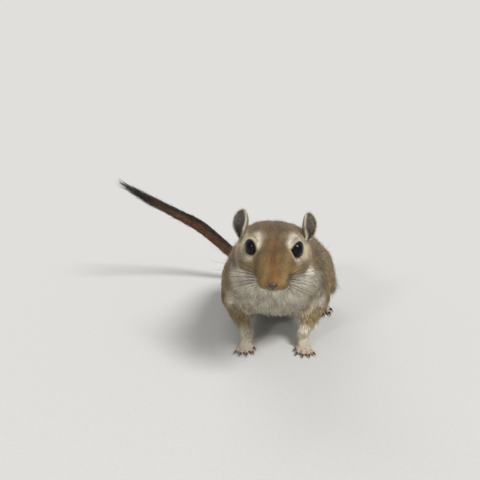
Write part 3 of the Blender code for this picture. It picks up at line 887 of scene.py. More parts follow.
@dataclass(frozen=True)
class HornFinish(Finish):
    """Horn of the claws, and the stiff hairs of the whiskers: dark at one end and streaked."""

    root: tuple = (0.11, 0.075, 0.055)
    tip: tuple = (0.030, 0.022, 0.018)

    def paint(self, shader: Shader) -> tuple[NodeSocket, None]:
        """The colour along the horn.

        Args:
            shader: The material's tree.

        Returns:
            The colour, and no bump.
        """
        along = shader.ramp(shader.value("along"), 0.0, 1.0)
        streak = shader.mottle(shader.noise(1800.0, 2.0, (1.0, 0.2, 1.0)), 0.75, 1.0)
        return shader.dimmed(shader.mix(along, opaque(self.root), opaque(self.tip)), streak), None


CLAW_HORN = HornFinish("claw_horn", (("Roughness", 0.30),))
WHISKER_HAIR = HornFinish(
    "whisker_hair", (("Roughness", 0.35),), root=(0.030, 0.020, 0.015), tip=(0.30, 0.25, 0.19),
)


@dataclass(frozen=True)
class FloorFinish(Finish):
    """The studio's pale floor with a trace of grain."""

    name: str = "pale_floor"
    numbers: tuple = (("Roughness", 1.0), ("Specular IOR Level", 0.0))
    colour: tuple = (0.620, 0.610, 0.595)
    varies: float = 0.015

    def paint(self, shader: Shader) -> tuple[NodeSocket, None]:
        """The floor's colour, and no bump."""
        low, high = (opaque(tuple(part * (1 + way * self.varies) for part in self.colour)) for way in (-1, 1))
        return shader.mix(shader.mottle(shader.noise(700.0)), low, high), None


@dataclass
class Skin:
    """The one skin under the coat, from the flesh nodes of the frame.

    The coat's length on the face and the tail goes by stations: millimetres behind the eyes,
    or the share of the tail, and the length there.
    """

    head: HeadPlace
    tail: TailLine
    close_gap: float = 0.25
    taken_back: float = 0.8
    first_grain: float = 0.55
    final_grain: float = 0.50
    resoften: int = 5
    resoften_share: tuple = (0.15, 0.7)
    soften: int = 170
    muzzle_kept: float = 0.8
    soften_share: dict = field(default_factory=lambda: {
        Region.HEAD: 0.06, Region.NECK: 0.5, Region.TORSO: 0.5, Region.FORELEG: 0.10,
        Region.THIGH: 0.45, Region.FOREFOOT: 0.005, Region.HINDFOOT: 0.005, Region.TAIL: 0.06,
    })
    blend_regions: int = 50
    blend_shoulders: int = 260
    shoulders: float = 20.0
    coat_share: float = 0.30
    thick_share: float = 0.24
    foot_share: float = 0.34
    under_feet: float = 0.6
    blend_depth: int = 8
    region_length: dict = field(default_factory=lambda: {
        Region.HEAD: 3.0, Region.NECK: 5.2, Region.TORSO: 7.4, Region.FORELEG: 3.6,
        Region.THIGH: 6.0, Region.FOREFOOT: 1.2, Region.HINDFOOT: 1.4, Region.TAIL: 3.4,
    })
    face_length: tuple = ((-18, 0.6), (-14, 1.0), (-8, 1.7), (0, 2.4), (8, 3.2), (16, 4.4), (24, 5.4))
    cheek_longer: float = 1.3
    lid_length: float = 0.65
    longer_from_lid: float = 0.40
    tail_length: tuple = ((0, 5.5), (0.15, 3.2), (0.55, 3.6), (0.72, 6.8), (0.9, 8.4), (1, 7.0))
    whisker_pad: Spot = Spot((3.1, -14.0, -6.6), (2.2, 3.0, 2.2), 0.60)
    chin: Spot = Spot((0.0, -11.5, -10.4), (2.4, 3.4, 1.6), 0.45)
    bridge: Spot = Spot((0.0, -10.0, 1.2), (3.6, 5.0, 2.4), 0.35)
    nostril: Spot = Spot((0.8, -17.8, -4.9), (1.0, 1.6, 0.9), 0.55)
    mouth_depth: float = 0.45
    split_depth: float = 0.35
    furrow_depth: float = 0.50
    furrow: tuple = (0.3, 1.1)
    ways: dict = field(default_factory=lambda: {
        Region.NECK: (0.0, 1.0, -0.55), Region.TORSO: (0.0, 1.0, -0.30),
        Region.FORELEG: (0.0, 0.25, -1.0), Region.THIGH: (0.0, 0.75, -0.75),
        Region.FOREFOOT: (0.0, -1.0, -0.2), Region.HINDFOOT: (0.0, -1.0, -0.2),
    })
    nose_tip: tuple = (0.0, -19.0, -3.0)
    round_eye: float = 3.8
    blend_lie: int = 10

    def nodes(self) -> list[str]:
        """The flesh nodes that the skin stands for.

        Returns:
            Their names.
        """
        names = ["head", "neck", "torso", "tail_base", "tail_middle", "tail_tuft"]
        for side in SIDES:
            names += [f"{part}_{side}" for part in ("foreleg", "thigh", "forefoot", "hindfoot")]
        return names

    def gather(self, nodes: dict) -> tuple[Object, BVHTree, Array]:
        """Joins copies of the flesh nodes, grown a little so that they touch.

        Args:
            nodes: The frame's objects by name.

        Returns:
            The joined object, a tree of the nodes' triangles and the region of each of them.
        """
        names = self.nodes()
        made, points, faces, counts = merged("skin", [nodes[name] for name in names], self.close_gap)
        regions = [next(region for region in REGIONS if name.startswith(region.value)) for name in names]
        places = np.repeat([REGIONS.index(region) for region in regions], counts)
        return made, BVHTree.FromPolygons(points.tolist(), faces.tolist()), places

    def remesh(self, obj: Object, grain: float) -> None:
        """Makes the object one even surface, and keeps its largest part.

        Args:
            obj: The object.
            grain: The surface's grain, in millimetres.
        """
        made_even(obj, grain)
        bm = bmesh.new()
        bm.from_mesh(obj.data)
        bm.faces.ensure_lookup_table()
        unseen = set(range(len(bm.faces)))
        best: set[int] = set()
        while unseen:
            first = unseen.pop()
            shell, front = {first}, [first]
            while front:
                for edge in bm.faces[front.pop()].edges:
                    for face in edge.link_faces:
                        if face.index in unseen:
                            unseen.discard(face.index)
                            shell.add(face.index)
                            front.append(face.index)
            best = max(best, shell, key=len)
        spare = [face for face in bm.faces if face.index not in best]
        if spare:
            bmesh.ops.delete(bm, geom=spare, context="FACES")
        bm.to_mesh(obj.data)
        bm.free()

    def region_weights(self, mesh: Mesh, tree: BVHTree, regions: Array) -> Array:
        """How much each vertex belongs to each region, blended at their borders.

        Args:
            mesh: The skin.
            tree: The flesh nodes' triangles.
            regions: The region of each of those triangles.

        Returns:
            One row for each vertex, one column for each region.
        """
        points, edges = mesh_arrays(mesh)[0], edges_of(mesh)
        found = [tree.find_nearest(point)[2] for point in points.tolist()]
        weights = spread(np.eye(len(REGIONS))[regions[found]], edges, self.blend_regions)
        neck, torso = REGIONS.index(Region.NECK), REGIONS.index(Region.TORSO)
        both = weights[:, neck] + weights[:, torso]
        ahead = (self.head.local(points)[:, 1] < self.shoulders).astype(float)
        share = np.where(both > TRACE, weights[:, neck] / np.maximum(both, TRACE), ahead)
        share = spread(share[:, None], edges, self.blend_shoulders)[:, 0]
        weights[:, neck], weights[:, torso] = both * share, both * (1 - share)
        return weights

    def lengths(self, points: Array, weights: Array) -> Array:
        """The coat's length.

        Args:
            points: World places on the skin.
            weights: How much each of them belongs to each region.

        Returns:
            The length at each point, in millimetres.
        """
        made = np.zeros(len(points))
        for place, region in enumerate(REGIONS):
            made += weights[:, place] * self.region_length[region]
        local = self.head.local(points)
        back, up = local[:, 1], local[:, 2]
        face = graded(back, self.face_length) + self.cheek_longer * ease(up, -3, -9) * ease(back, -8, 2)
        from_lid = np.maximum(self.head.nearest_eye(local) - self.head.eye_radius, 0)
        face = np.minimum(face, self.lid_length + self.longer_from_lid * from_lid)
        made += share_of(weights, Region.HEAD) * (face - self.region_length[Region.HEAD])
        tail = graded(self.tail.nearest(points, self.head)[0], self.tail_length)
        made += share_of(weights, Region.TAIL) * (tail - self.region_length[Region.TAIL])
        return made

    def raised(self, points: Array, weights: Array) -> Array:
        """How much of its usual lift the coat has: less near the eyes and on the muzzle.

        Args:
            points: World places on the skin.
            weights: How much each of them belongs to each region.

        Returns:
            The share of the lift at each point.
        """
        local = self.head.local(points)
        near = self.head.nearest_eye(local)
        close = (0.35 + 0.35 * ease(local[:, 1], 0.5, -2.0)) * ease(near, 6.5, 3.8)
        held = np.maximum(close, 0.2 * ease(local[:, 1], -9, -15))
        return 1 - held * share_of(weights, Region.HEAD)

    def sink(self, obj: Object, length: Array, weights: Array) -> None:
        """Moves the skin in by the coat's depth, less where the body is thin.

        Args:
            obj: The skin.
            length: The coat's length at each vertex.
            weights: How much each vertex belongs to each region.
        """
        points, normals, triangles, _ = mesh_arrays(obj.data)
        depth_tree = BVHTree.FromPolygons(points.tolist(), triangles.tolist())
        thick = np.full(len(points), np.inf)
        for i, (point, normal) in enumerate(zip(points.tolist(), normals.tolist())):
            start, inward = Vector(point), -Vector(normal)
            gap = depth_tree.ray_cast(start + inward * RAY_START, inward)[3]
            if gap is not None:
                thick[i] = gap / MM
        depth = np.minimum(self.coat_share * length, self.thick_share * thick)
        feet = share_of(weights, Region.FOREFOOT, Region.HINDFOOT)
        depth = np.maximum(depth, feet * np.minimum(self.under_feet, self.foot_share * thick))
        depth = spread(depth, edges_of(obj.data), self.blend_depth)
        set_points(obj.data, points - normals * depth[:, None] * MM)

    def model_face(self, obj: Object) -> None:
        """Models the face: fuller pads, chin and bridge, and the mouth, nostrils and eye furrows pressed in.

        Args:
            obj: The skin.
        """
        points, normals, _, _ = mesh_arrays(obj.data)
        local = self.head.local(points)
        both = folded(local)
        mouth, split = face_lines(local)
        out = sum(spot.on(both) for spot in (self.whisker_pad, self.chin, self.bridge))
        out -= self.mouth_depth * mouth + self.split_depth * split + self.nostril.on(both)
        gap = self.head.from_eye(both, 1) - self.head.eye_radius
        out -= self.furrow_depth * band(gap, *self.furrow) * ease(local[:, 1], 1.0, -2.0)
        set_points(obj.data, points + normals * out[:, None] * MM)

    def lie(self, mesh: Mesh, weights: Array) -> Array:
        """Which way the coat lies: from the nose over the head, round the eyes, and down the body.

        Args:
            mesh: The skin.
            weights: How much each vertex belongs to each region.

        Returns:
            A unit vector along the surface for each vertex.
        """
        points, normals, _, _ = mesh_arrays(mesh)
        local = self.head.local(points)
        total = np.zeros_like(points)
        for region, way in self.ways.items():
            total += weights[:, REGIONS.index(region), None] * unit(np.array(way))
        from_nose = unit(local - self.nose_tip) + (0.0, 0.35, 0.0)
        from_nose[:, 2] -= 0.25 * ease(local[:, 2], 2, -8)
        for side in SIDES.values():
            away = unit(local - np.array((side * self.head.eye_spread, 0, 0)))
            near = band(self.head.from_eye(local, side), self.head.eye_radius, self.round_eye)
            into = np.minimum((from_nose * away).sum(1), 0.0)
            from_nose += away * ((0.42 - 1.25 * into) * near)[:, None]
        total += weights[:, REGIONS.index(Region.HEAD), None] * self.head.turned(from_nose)
        total += weights[:, REGIONS.index(Region.TAIL), None] * self.tail.nearest(points, self.head)[1]
        return laid(spread(laid(total, normals), edges_of(mesh), self.blend_lie), normals)

    def shape(self, nodes: dict) -> tuple[Object, Array]:
        """Shapes the skin: one even surface, softened, sunk under the coat and with its face modelled.

        Args:
            nodes: The frame's objects by name.

        Returns:
            The skin, and how much each vertex belongs to each region.
        """
        obj, tree, regions = self.gather(nodes)
        self.remesh(obj, self.first_grain)
        weights = self.region_weights(obj.data, tree, regions)
        points, normals, _, _ = mesh_arrays(obj.data)
        shares = [self.soften_share[region] for region in REGIONS]
        muzzle = ease(self.head.local(points)[:, 1], -8, -14) * share_of(weights, Region.HEAD)
        factor = weights @ shares * (1 - self.muzzle_kept * muzzle)
        points = spread(points, edges_of(obj.data), self.soften, factor)
        points -= normals * (self.close_gap * MM * self.taken_back)
        set_points(obj.data, points)
        self.sink(obj, self.lengths(points, weights), weights)

        self.remesh(obj, self.final_grain)
        weights = self.region_weights(obj.data, tree, regions)
        least, more = self.resoften_share
        factor = least + more * (weights @ shares)
        set_points(obj.data, spread(mesh_arrays(obj.data)[0], edges_of(obj.data), self.resoften, factor))
        self.model_face(obj)
        points = mesh_arrays(obj.data)[0]
        for side_name in SIDES:
            points = Eye(self.head, side_name).cleared(points)
        set_points(obj.data, points)
        return obj, weights

    def build(self, nodes: dict) -> Ground:
        """Builds the skin and what the coat needs of it.

        Args:
            nodes: The frame's objects by name.

        Returns:
            The skin as a ground, with no fur inside the eyes' rims.
        """
        obj, weights = self.shape(nodes)
        loops_uv = unwrapped(obj)
        points, normals, triangles, loops = mesh_arrays(obj.data)
        marks, ticking = Markings(self.head, self.tail).on(points, normals, weights)
        for mark, values in marks.items():
            add_values(obj.data, mark, values)
        lie, length = self.lie(obj.data, weights), self.lengths(points, weights)
        raised = self.raised(points, weights)
        local = self.head.local(points)
        inner = self.head.eye_radius + 0.15 + 0.45 * ease(local[:, 1], 0.5, -2.0)
        weights[:, REGIONS.index(Region.HEAD)] *= np.clip((self.head.nearest_eye(local) - inner) / 0.3, 0, 1)
        placed(obj, SkinFinish(), "fur_sandy", *self.nodes())
        return Ground(
            points, normals, triangles, loops_uv[loops], lie, length, marks, ticking, weights, raised
        )


def face_lines(local: Array) -> tuple[Array, Array]:
    """The mouth and the split of the upper lip as soft lines over the face.

    Args:
        local: Points in the head's frame.

    Returns:
        How near each point is to the mouth's line and to the split, from 0 to 1.
    """
    line_width, jaw_middle, mouth_level, mouth_wide = 0.42, 8.5, -9.2, math.radians(72)
    share = np.arctan2(np.abs(local[:, 0]), -(local[:, 1] + jaw_middle)) / mouth_wide
    ahead = ease(share, 1.15, 0.95) * ease(local[:, 1], -4.0, -8.0)
    mouth = band(local[:, 2], mouth_level + share**2, line_width) * ahead
    split = band(local[:, 0], 0.0, line_width) * ease(local[:, 1], -14.5, -16.0)
    split *= ease(local[:, 2], -5.6, -6.2) * ease(local[:, 2], -9.4, -8.9)
    return mouth, split


@dataclass(frozen=True)
class Markings:
    """The golden agouti pattern, from the species and the photo.

    Each mark_ method adds its part to the marks. Spots and stations are in the head's frame,
    with its right side laid over its left.
    """

    head: HeadPlace
    tail: TailLine
    bridge: float = 0.92
    bridge_width: tuple = ((-17, 1.9), (-8, 2.7), (2, 4.3), (10, 6.0))
    muzzle: Spot = Spot((4.6, -10.8, -5.2), (3.1, 4.8, 3.8))
    under_eye: Spot = Spot((6.4, -5.0, -4.0), (2.4, 3.6, 3.0), 0.7)
    cheek: Spot = Spot((12.5, 5.5, -5.5), (5.0, 8.0, 6.5), 1.35)
    before_cheek: Spot = Spot((8.5, -5.0, -6.5), (3.0, 5.0, 3.5), 0.8)
    behind_eye: Spot = Spot((11.6, 5.2, 0.0), (3.0, 4.2, 3.6), 0.55)
    brow: Spot = Spot((6.0, -2.2, 4.2), (1.9, 3.2, 2.2), 0.62)
    nose_pad: Spot = Spot((0.0, -17.4, -4.9), (1.62, 1.8, 1.16))
    eye_ring: tuple = (4.5, 1.25)
    jaw_line: tuple = ((-14, -6.6), (-6, -7.0), (0, -7.8), (12, -8.0))
    jaw_fade: tuple = ((-14, 1.5), (12, 4.0))
    chest_way: tuple = (0.0, -0.62, -0.78)
    rump: tuple = (90.0, 101.0)
    feet_cream: float = 0.8
    flank_beige: float = 0.7
    foreleg_beige: float = 0.6
    ticked: float = 0.36
    crown_ticked: float = 0.60
    back_ticked: float = 0.12

    def on(self, points: Array, normals: Array, weights: Array) -> tuple[dict, Array]:
        """The marks at every point.

        Args:
            points: World places.
            normals: The surface's normals there.
            weights: How much each point belongs to each region.

        Returns:
            The marks by name, and how much of the coat is ticked with dark tips.
        """
        part = {region: weights[:, place] for place, region in enumerate(REGIONS)}
        marks = {mark: np.zeros(len(points)) for mark in Mark}
        local = self.head.local(points)
        level = points[:, 2] / MM + 1.3 * ripple(points, 6 * MM, 5)
        wobble = 0.8 * ripple(points, 3 * MM, 9)
        self.mark_face(marks, local, wobble, part[Region.HEAD])
        self.mark_body(marks, points, normals, level, wobble, part)
        self.mark_tail(marks, points, normals, wobble, part[Region.TAIL])
        marks = {mark: np.clip(values, 0, 1) for mark, values in marks.items()}
        crown = part[Region.HEAD] * ease(local[:, 2], 1, 6) * ease(local[:, 1], -8, 0)
        upper_back = part[Region.TORSO] * ease(level, 25, 40)
        ticking = self.ticked + self.crown_ticked * crown + self.back_ticked * upper_back
        ticking = ticking * (1 - marks[Mark.CREAM]) * (1 - 0.6 * marks[Mark.BEIGE])
        return {mark.value: values for mark, values in marks.items()}, np.clip(ticking, 0.02, 0.9)

    def mark_face(self, marks: dict, local: Array, wobble: Array, face: Array) -> None:
        """Ginger bridge, ochre muzzle, pale cheeks and eye rings, cream jaw, and painted shade in the mouth
        line, the lip's split, the eye sockets and round the nose pad.

        Args:
            marks: The marks so far.
            local: Points in the head's frame.
            wobble: What makes borders uneven.
            face: How much each point belongs to the head.
        """
        both = folded(local)
        wide, back, up = both.T
        bridge = self.bridge * band(wide, 0.0, graded(back, self.bridge_width))
        marks[Mark.GINGER] += bridge * ease(back, 6, -6) * ease(up, -7.0, -4.0) * face
        marks[Mark.BEIGE] += np.maximum(self.cheek.on(both), self.before_cheek.on(both)) * face

        gap = self.head.from_eye(both, 1)
        over = ease(up, -1.5, 2.5) * ease(wide, 4.0, 6.0)
        ring = band(gap, *self.eye_ring) * (0.58 + 0.20 * over)
        line = graded(back, self.jaw_line)
        jaw = ease(up + 0.35 * wobble, line, line - graded(back, self.jaw_fade))
        jaw *= np.maximum(ease(back, -15.5, -10.0), ease(back, -17.2, -15.2) * ease(wide, 1.3, 2.6))
        pale = [ring, self.behind_eye.on(both), self.brow.on(both), jaw, ease(up, -8.7, -9.5)]
        marks[Mark.CREAM] += np.maximum.reduce(pale) * face
        marks[Mark.OCHRE] += np.maximum(self.muzzle.on(both), self.under_eye.on(both)) * face * (1 - jaw)

        # Painted shade: umber in the eye sockets, the mouth line, the lip's split and round the nose pad
        radius = self.head.eye_radius
        socket = ease(gap, radius + 0.35, radius - 0.1)
        pad = ease(self.nose_pad.on(both), 0.34, 0.50)
        marks[Mark.BARE] += pad * face
        marks[Mark.SHADE] += np.maximum.reduce([*face_lines(local), socket, 0.8 * pad]) * face

    def mark_body(
        self, marks: dict, points: Array, normals: Array, level: Array, wobble: Array, part: dict,
    ) -> None:
        """Cream chest, belly and feet, beige flanks, and bare soles.

        Args:
            marks: The marks so far.
            points: World places.
            normals: The surface's normals there.
            level: Their heights over the floor in millimetres, made uneven.
            wobble: What makes borders uneven.
            part: How much each point belongs to each region.
        """
        up = self.head.local(points)[:, 2]
        ahead = normals @ unit(np.array(self.chest_way))
        rump = ease((points - self.head.floor())[:, 1] / MM, *self.rump)
        feet = part[Region.FOREFOOT] + part[Region.HINDFOOT]

        chest = ease(ahead + 0.08 * wobble, -0.05, 0.42) * ease(up + wobble, -5.5, -10.0)
        belly = np.maximum(ease(level, 15.5, 10.0), ease(normals[:, 2], -0.45, -0.75))
        foreleg = np.maximum(ease(level, 12.0, 7.5), ease(ahead, 0.4, 0.8))
        thigh = np.maximum(ease(level, 11.0, 7.0), ease(normals[:, 2], -0.3, -0.7))
        marks[Mark.CREAM] += (
            part[Region.NECK] * chest + part[Region.TORSO] * belly * (1 - rump)
            + part[Region.FORELEG] * foreleg + part[Region.THIGH] * thigh + feet * self.feet_cream
        )
        flank = ease(level, 34.0, 16.0) * (1 - rump)
        sides = part[Region.TORSO] + part[Region.THIGH] + part[Region.NECK]
        marks[Mark.BEIGE] += (
            part[Region.NECK] * ease(up, -10.0, -5.0) * ease(up, 0.0, -4.0)
            + sides * flank * self.flank_beige + part[Region.FORELEG] * self.foreleg_beige
        )

        sole = np.maximum(ease(normals[:, 2], -0.2, -0.7), ease(points[:, 2] / MM, 2.2, 1.0) * 0.7)
        marks[Mark.BARE] = np.maximum(feet * sole, marks[Mark.BARE])

    def mark_tail(self, marks: dict, points: Array, normals: Array, wobble: Array, tail: Array) -> None:
        """Rust tail, beige below, with a black stripe above that widens into the tuft.

        Args:
            marks: The marks so far.
            points: World places.
            normals: The surface's normals there.
            wobble: What makes borders uneven.
            tail: How much each point belongs to the tail.
        """
        along, way = self.tail.nearest(points, self.head)
        side = unit(np.cross(way, (0.0, 0.0, 1.0)))
        top = (normals * np.cross(side, way)).sum(1)
        stripe = 0.9 * ease(top, 0.25, 0.75) * ease(along, 0.12, 0.35)
        below = 0.7 * ease(top, -0.2, -0.7) * ease(along, 0.6, 0.4) * ease(along, 0.0, 0.2)
        marks[Mark.RUST] += tail * ease(along, 0.02, 0.2)
        marks[Mark.BLACK] += tail * np.maximum(stripe, ease(along + 0.03 * wobble, 0.60, 0.76))
        marks[Mark.BEIGE] += tail * below


@dataclass
class Tufts:
    """The tufts of one kind of fur, as arrays with a row for each."""

    root: Array
    side: Array
    start: Array
    end: Array
    pull: Array
    length: Array
    half: Array
    roll: Array
    tone: Array
    tick: Array
    patch: Array
    marks: dict[str, Array]

    def middle(self, step: float) -> Array:
        """The middle line's points at that share of the way to the tips."""
        bend = self.start * (step - step**2 / 2) + self.end * (step**2 / 2)
        return self.root + bend * self.length[:, None] + self.pull * step**2

    def part(self, rows: Array) -> Tufts:
        """Some of the tufts."""
        taken = {name: values[rows] for name, values in vars(self).items() if name != "marks"}
        return Tufts(**taken, marks={name: values[rows] for name, values in self.marks.items()})


@dataclass
class Coat:
    """Tufts of one kind over part of a ground: spindles, rooted in the skin, three sides round.

    Lift is the tufts' angle to the skin at the root and at the tip, in degrees. Clump is how
    many make a lock, and gather is how far their tips go to its tip. Clear is how high the
    tips stay over the floor. Steps are the rings of a tuft, by place and size.
    """

    name: str
    slot: str
    count: int
    seed: int
    regions: tuple
    width: tuple = (0.16, 0.26)
    lift: tuple = (24.0, -6.0)
    stray: float = 0.16
    varies: float = 0.22
    flat: float = 0.7
    clump: int = 14
    gather: float = 0.34
    guard: float = 0.02
    clear: float = 0.35
    steps: tuple = ((0.38, 1.0),)

    def chances(self, ground: Ground) -> Array:
        """How densely the tufts stand.

        Args:
            ground: The surface that they grow from.

        Returns:
            The chance of a tuft at each vertex, not yet made to add up to 1.
        """
        share = share_of(ground.weights, *self.regions)
        dense = 1.0 / np.clip(ground.length, 0.7, 9.0) ** 0.9
        furred = 1 - np.maximum(ground.marks[Mark.SHADE.value], ground.marks[Mark.BARE.value])
        return np.where(share > TRACE, share, 0) * dense * np.clip(furred, 0, 1)

    def grow(self, ground: Ground) -> Tufts:
        """Sets the tufts' places, ways and colours.

        Args:
            ground: The surface that they grow from.

        Returns:
            The tufts.
        """
        count = self.count
        draw = np.random.default_rng(self.seed)
        corners = ground.points[ground.triangles]
        area = np.linalg.norm(np.cross(corners[:, 1] - corners[:, 0], corners[:, 2] - corners[:, 0]), axis=1)
        chance = area * self.chances(ground)[ground.triangles].mean(1)
        picked = draw.choice(len(chance), count, p=chance / chance.sum())
        shares = draw.dirichlet((1.0, 1.0, 1.0), count)
        at = ground.triangles[picked]

        def here(values: Array) -> Array:
            """The ground's values at the roots."""
            found = (values.reshape(len(values), -1)[at] * shares[:, :, None]).sum(1)
            return found.reshape(count, *values.shape[1:])

        root, normal, lie = here(ground.points), unit(here(ground.normals)), here(ground.lie)
        guard = draw.random(count) < self.guard
        length = here(ground.length) * MM * np.exp(draw.normal(0, self.varies, count)) * (1 + 0.35 * guard)
        side = unit(np.cross(normal, lie))
        sway = draw.normal(0, self.stray, count) + 0.16 * ripple(root, 3.4 * MM, self.seed + 1)
        lie = unit(lie + side * sway[:, None])
        side = unit(np.cross(normal, lie))
        rise = 1 + 0.08 * ripple(root, 3.1 * MM, self.seed + 2) + draw.normal(0, 0.22, count) + 0.4 * guard
        first = np.radians(self.lift[0]) * np.clip(rise, 0.3, 2.2) * here(ground.raised)
        last = np.radians(self.lift[1] * here(ground.raised) + 7 * (rise - 1))
        start = lie * np.cos(first)[:, None] + normal * np.sin(first)[:, None]
        end = lie * np.cos(last)[:, None] + normal * np.sin(last)[:, None]
        end = unit(end + side * draw.normal(0, 0.10, count)[:, None])
        half = np.minimum(draw.uniform(*self.width, count) * MM / 2, length * 0.10) * (1 - 0.3 * guard)
        streaked = root * (1.0, 0.42, 0.8)
        grain = 0.24 * ripple(streaked, 1.5 * MM, self.seed + 3) + 0.10 * ripple(root, 4 * MM, self.seed + 4)
        chance = here(ground.ticking) * (1 + 1.1 * ripple(streaked, 1.3 * MM, self.seed + 5))
        made = Tufts(
            root=root - normal * (0.02 * length + 0.6 * half)[:, None], side=side, start=start, end=end,
            pull=np.zeros_like(root), length=length, half=half, roll=draw.normal(0, 0.30, count),
            tone=np.clip(0.5 + grain + draw.normal(0, 0.17, count), 0, 1),
            tick=(draw.random(count) < chance).astype(float),
            patch=(ground.patches[picked] * shares[:, :, None]).sum(1),
            marks={name: here(values) for name, values in ground.marks.items()},
        )
        made.pull = self.locks(made, draw) * (self.gather * (1 - guard))[:, None]
        made.pull[:, 2] += np.maximum(self.clear * MM - made.middle(1.0)[:, 2], 0)
        return made

    def locks(self, tufts: Tufts, draw: np.random.Generator) -> Array:
        """Gathers the tufts into locks, each round a leader.

        Args:
            tufts: The tufts.
            draw: The random draws, for the leaders.

        Returns:
            The way from each tuft's tip to its lock's tip.
        """
        leaders = draw.choice(len(tufts.root), max(len(tufts.root) // self.clump, 1), replace=False)
        tree = KDTree(len(leaders))
        for place, leader in enumerate(leaders.tolist()):
            tree.insert(tufts.root[leader], place)
        tree.balance()
        nearest = leaders[[tree.find(point)[1] for point in tufts.root.tolist()]]
        tips = tufts.middle(1.0)
        along = (tufts.root - tufts.root[nearest]) * 0.25
        away = tips[nearest] + along - tips
        far = np.linalg.norm(away, axis=1, keepdims=True)
        return away * np.minimum(1.0, 0.35 * tufts.length[:, None] / np.maximum(far, 1e-9))

    def build(self, ground: Ground) -> None:
        """Grows the tufts, in as many pieces as the limit on one piece asks for.

        Args:
            ground: The surface that they grow from.
        """
        tufts = self.grow(ground)
        count = len(tufts.root)
        pieces = math.ceil(count * len(self.pattern()) / PIECE_TRIANGLES)
        for index, rows in enumerate(np.array_split(np.arange(count), pieces)):
            name = self.name if pieces == 1 else f"{self.name}_{index + 1}"
            self.piece(name, tufts.part(rows))

    def piece(self, name: str, tufts: Tufts) -> None:
        """Builds one piece of the coat.

        Args:
            name: The piece's name.
            tufts: Its tufts.
        """
        count = len(tufts.root)
        rows, alongs, across = [tufts.middle(0.0)], [0.0], [0.0]
        for step, size in self.steps:
            way = unit(tufts.start * (1 - step) + tufts.end * step)
            top = unit(np.cross(way, tufts.side))
            turn = tufts.roll[:, None]
            over = tufts.side * np.cos(turn) + top * np.sin(turn)
            high = np.cross(way, over)
            for x, y in ((-1.0, 0.0), (0.0, self.flat), (1.0, 0.0)):
                rows.append(tufts.middle(step) + (over * x + high * y) * (tufts.half * size)[:, None])
                alongs.append(step)
                across.append(x)
        rows.append(tufts.middle(1.0))
        alongs.append(1.0)
        across.append(0.0)
        each = len(rows)
        points = np.stack(rows, 1).reshape(-1, 3)
        pattern = self.pattern()
        faces = (np.arange(count)[:, None, None] * each + pattern[None]).reshape(-1, 3)
        mesh = mesh_from(name, points, faces)

        add_values(mesh, "along", np.tile(alongs, count))
        for word, values in {"tone": tufts.tone, "tick": tufts.tick, **tufts.marks}.items():
            add_values(mesh, word, np.repeat(values, each))
        offset = np.stack([np.array(across) * 0.5, np.array(alongs) - 0.5], 1) * TUFT_PATCH
        corner = np.clip(tufts.patch[:, None, None] + offset[pattern][None], 0, 1).reshape(-1, 2)
        mesh.uv_layers.new(name=BAKE_MAP).data.foreach_set("uv", corner.astype(np.float32).ravel())
        placed(object_of(name, mesh), CoatFinish(), self.slot)

    def pattern(self) -> Array:
        """The triangles of one tuft: its root, its rings and its tip.

        Returns:
            The triangles, one a row.
        """
        each = len(self.steps) * 3 + 2
        faces = [(0, 1 + k, 1 + (k + 1) % 3) for k in range(3)]
        for ring in range(len(self.steps) - 1):
            low = 1 + ring * 3
            for k in range(3):
                n = (k + 1) % 3
                faces += [(low + n, low + k, low + 3 + k), (low + n, low + 3 + k, low + 3 + n)]
        faces += [(each - 1, each - 4 + (k + 1) % 3, each - 4 + k) for k in range(3)]
        return np.array(faces)


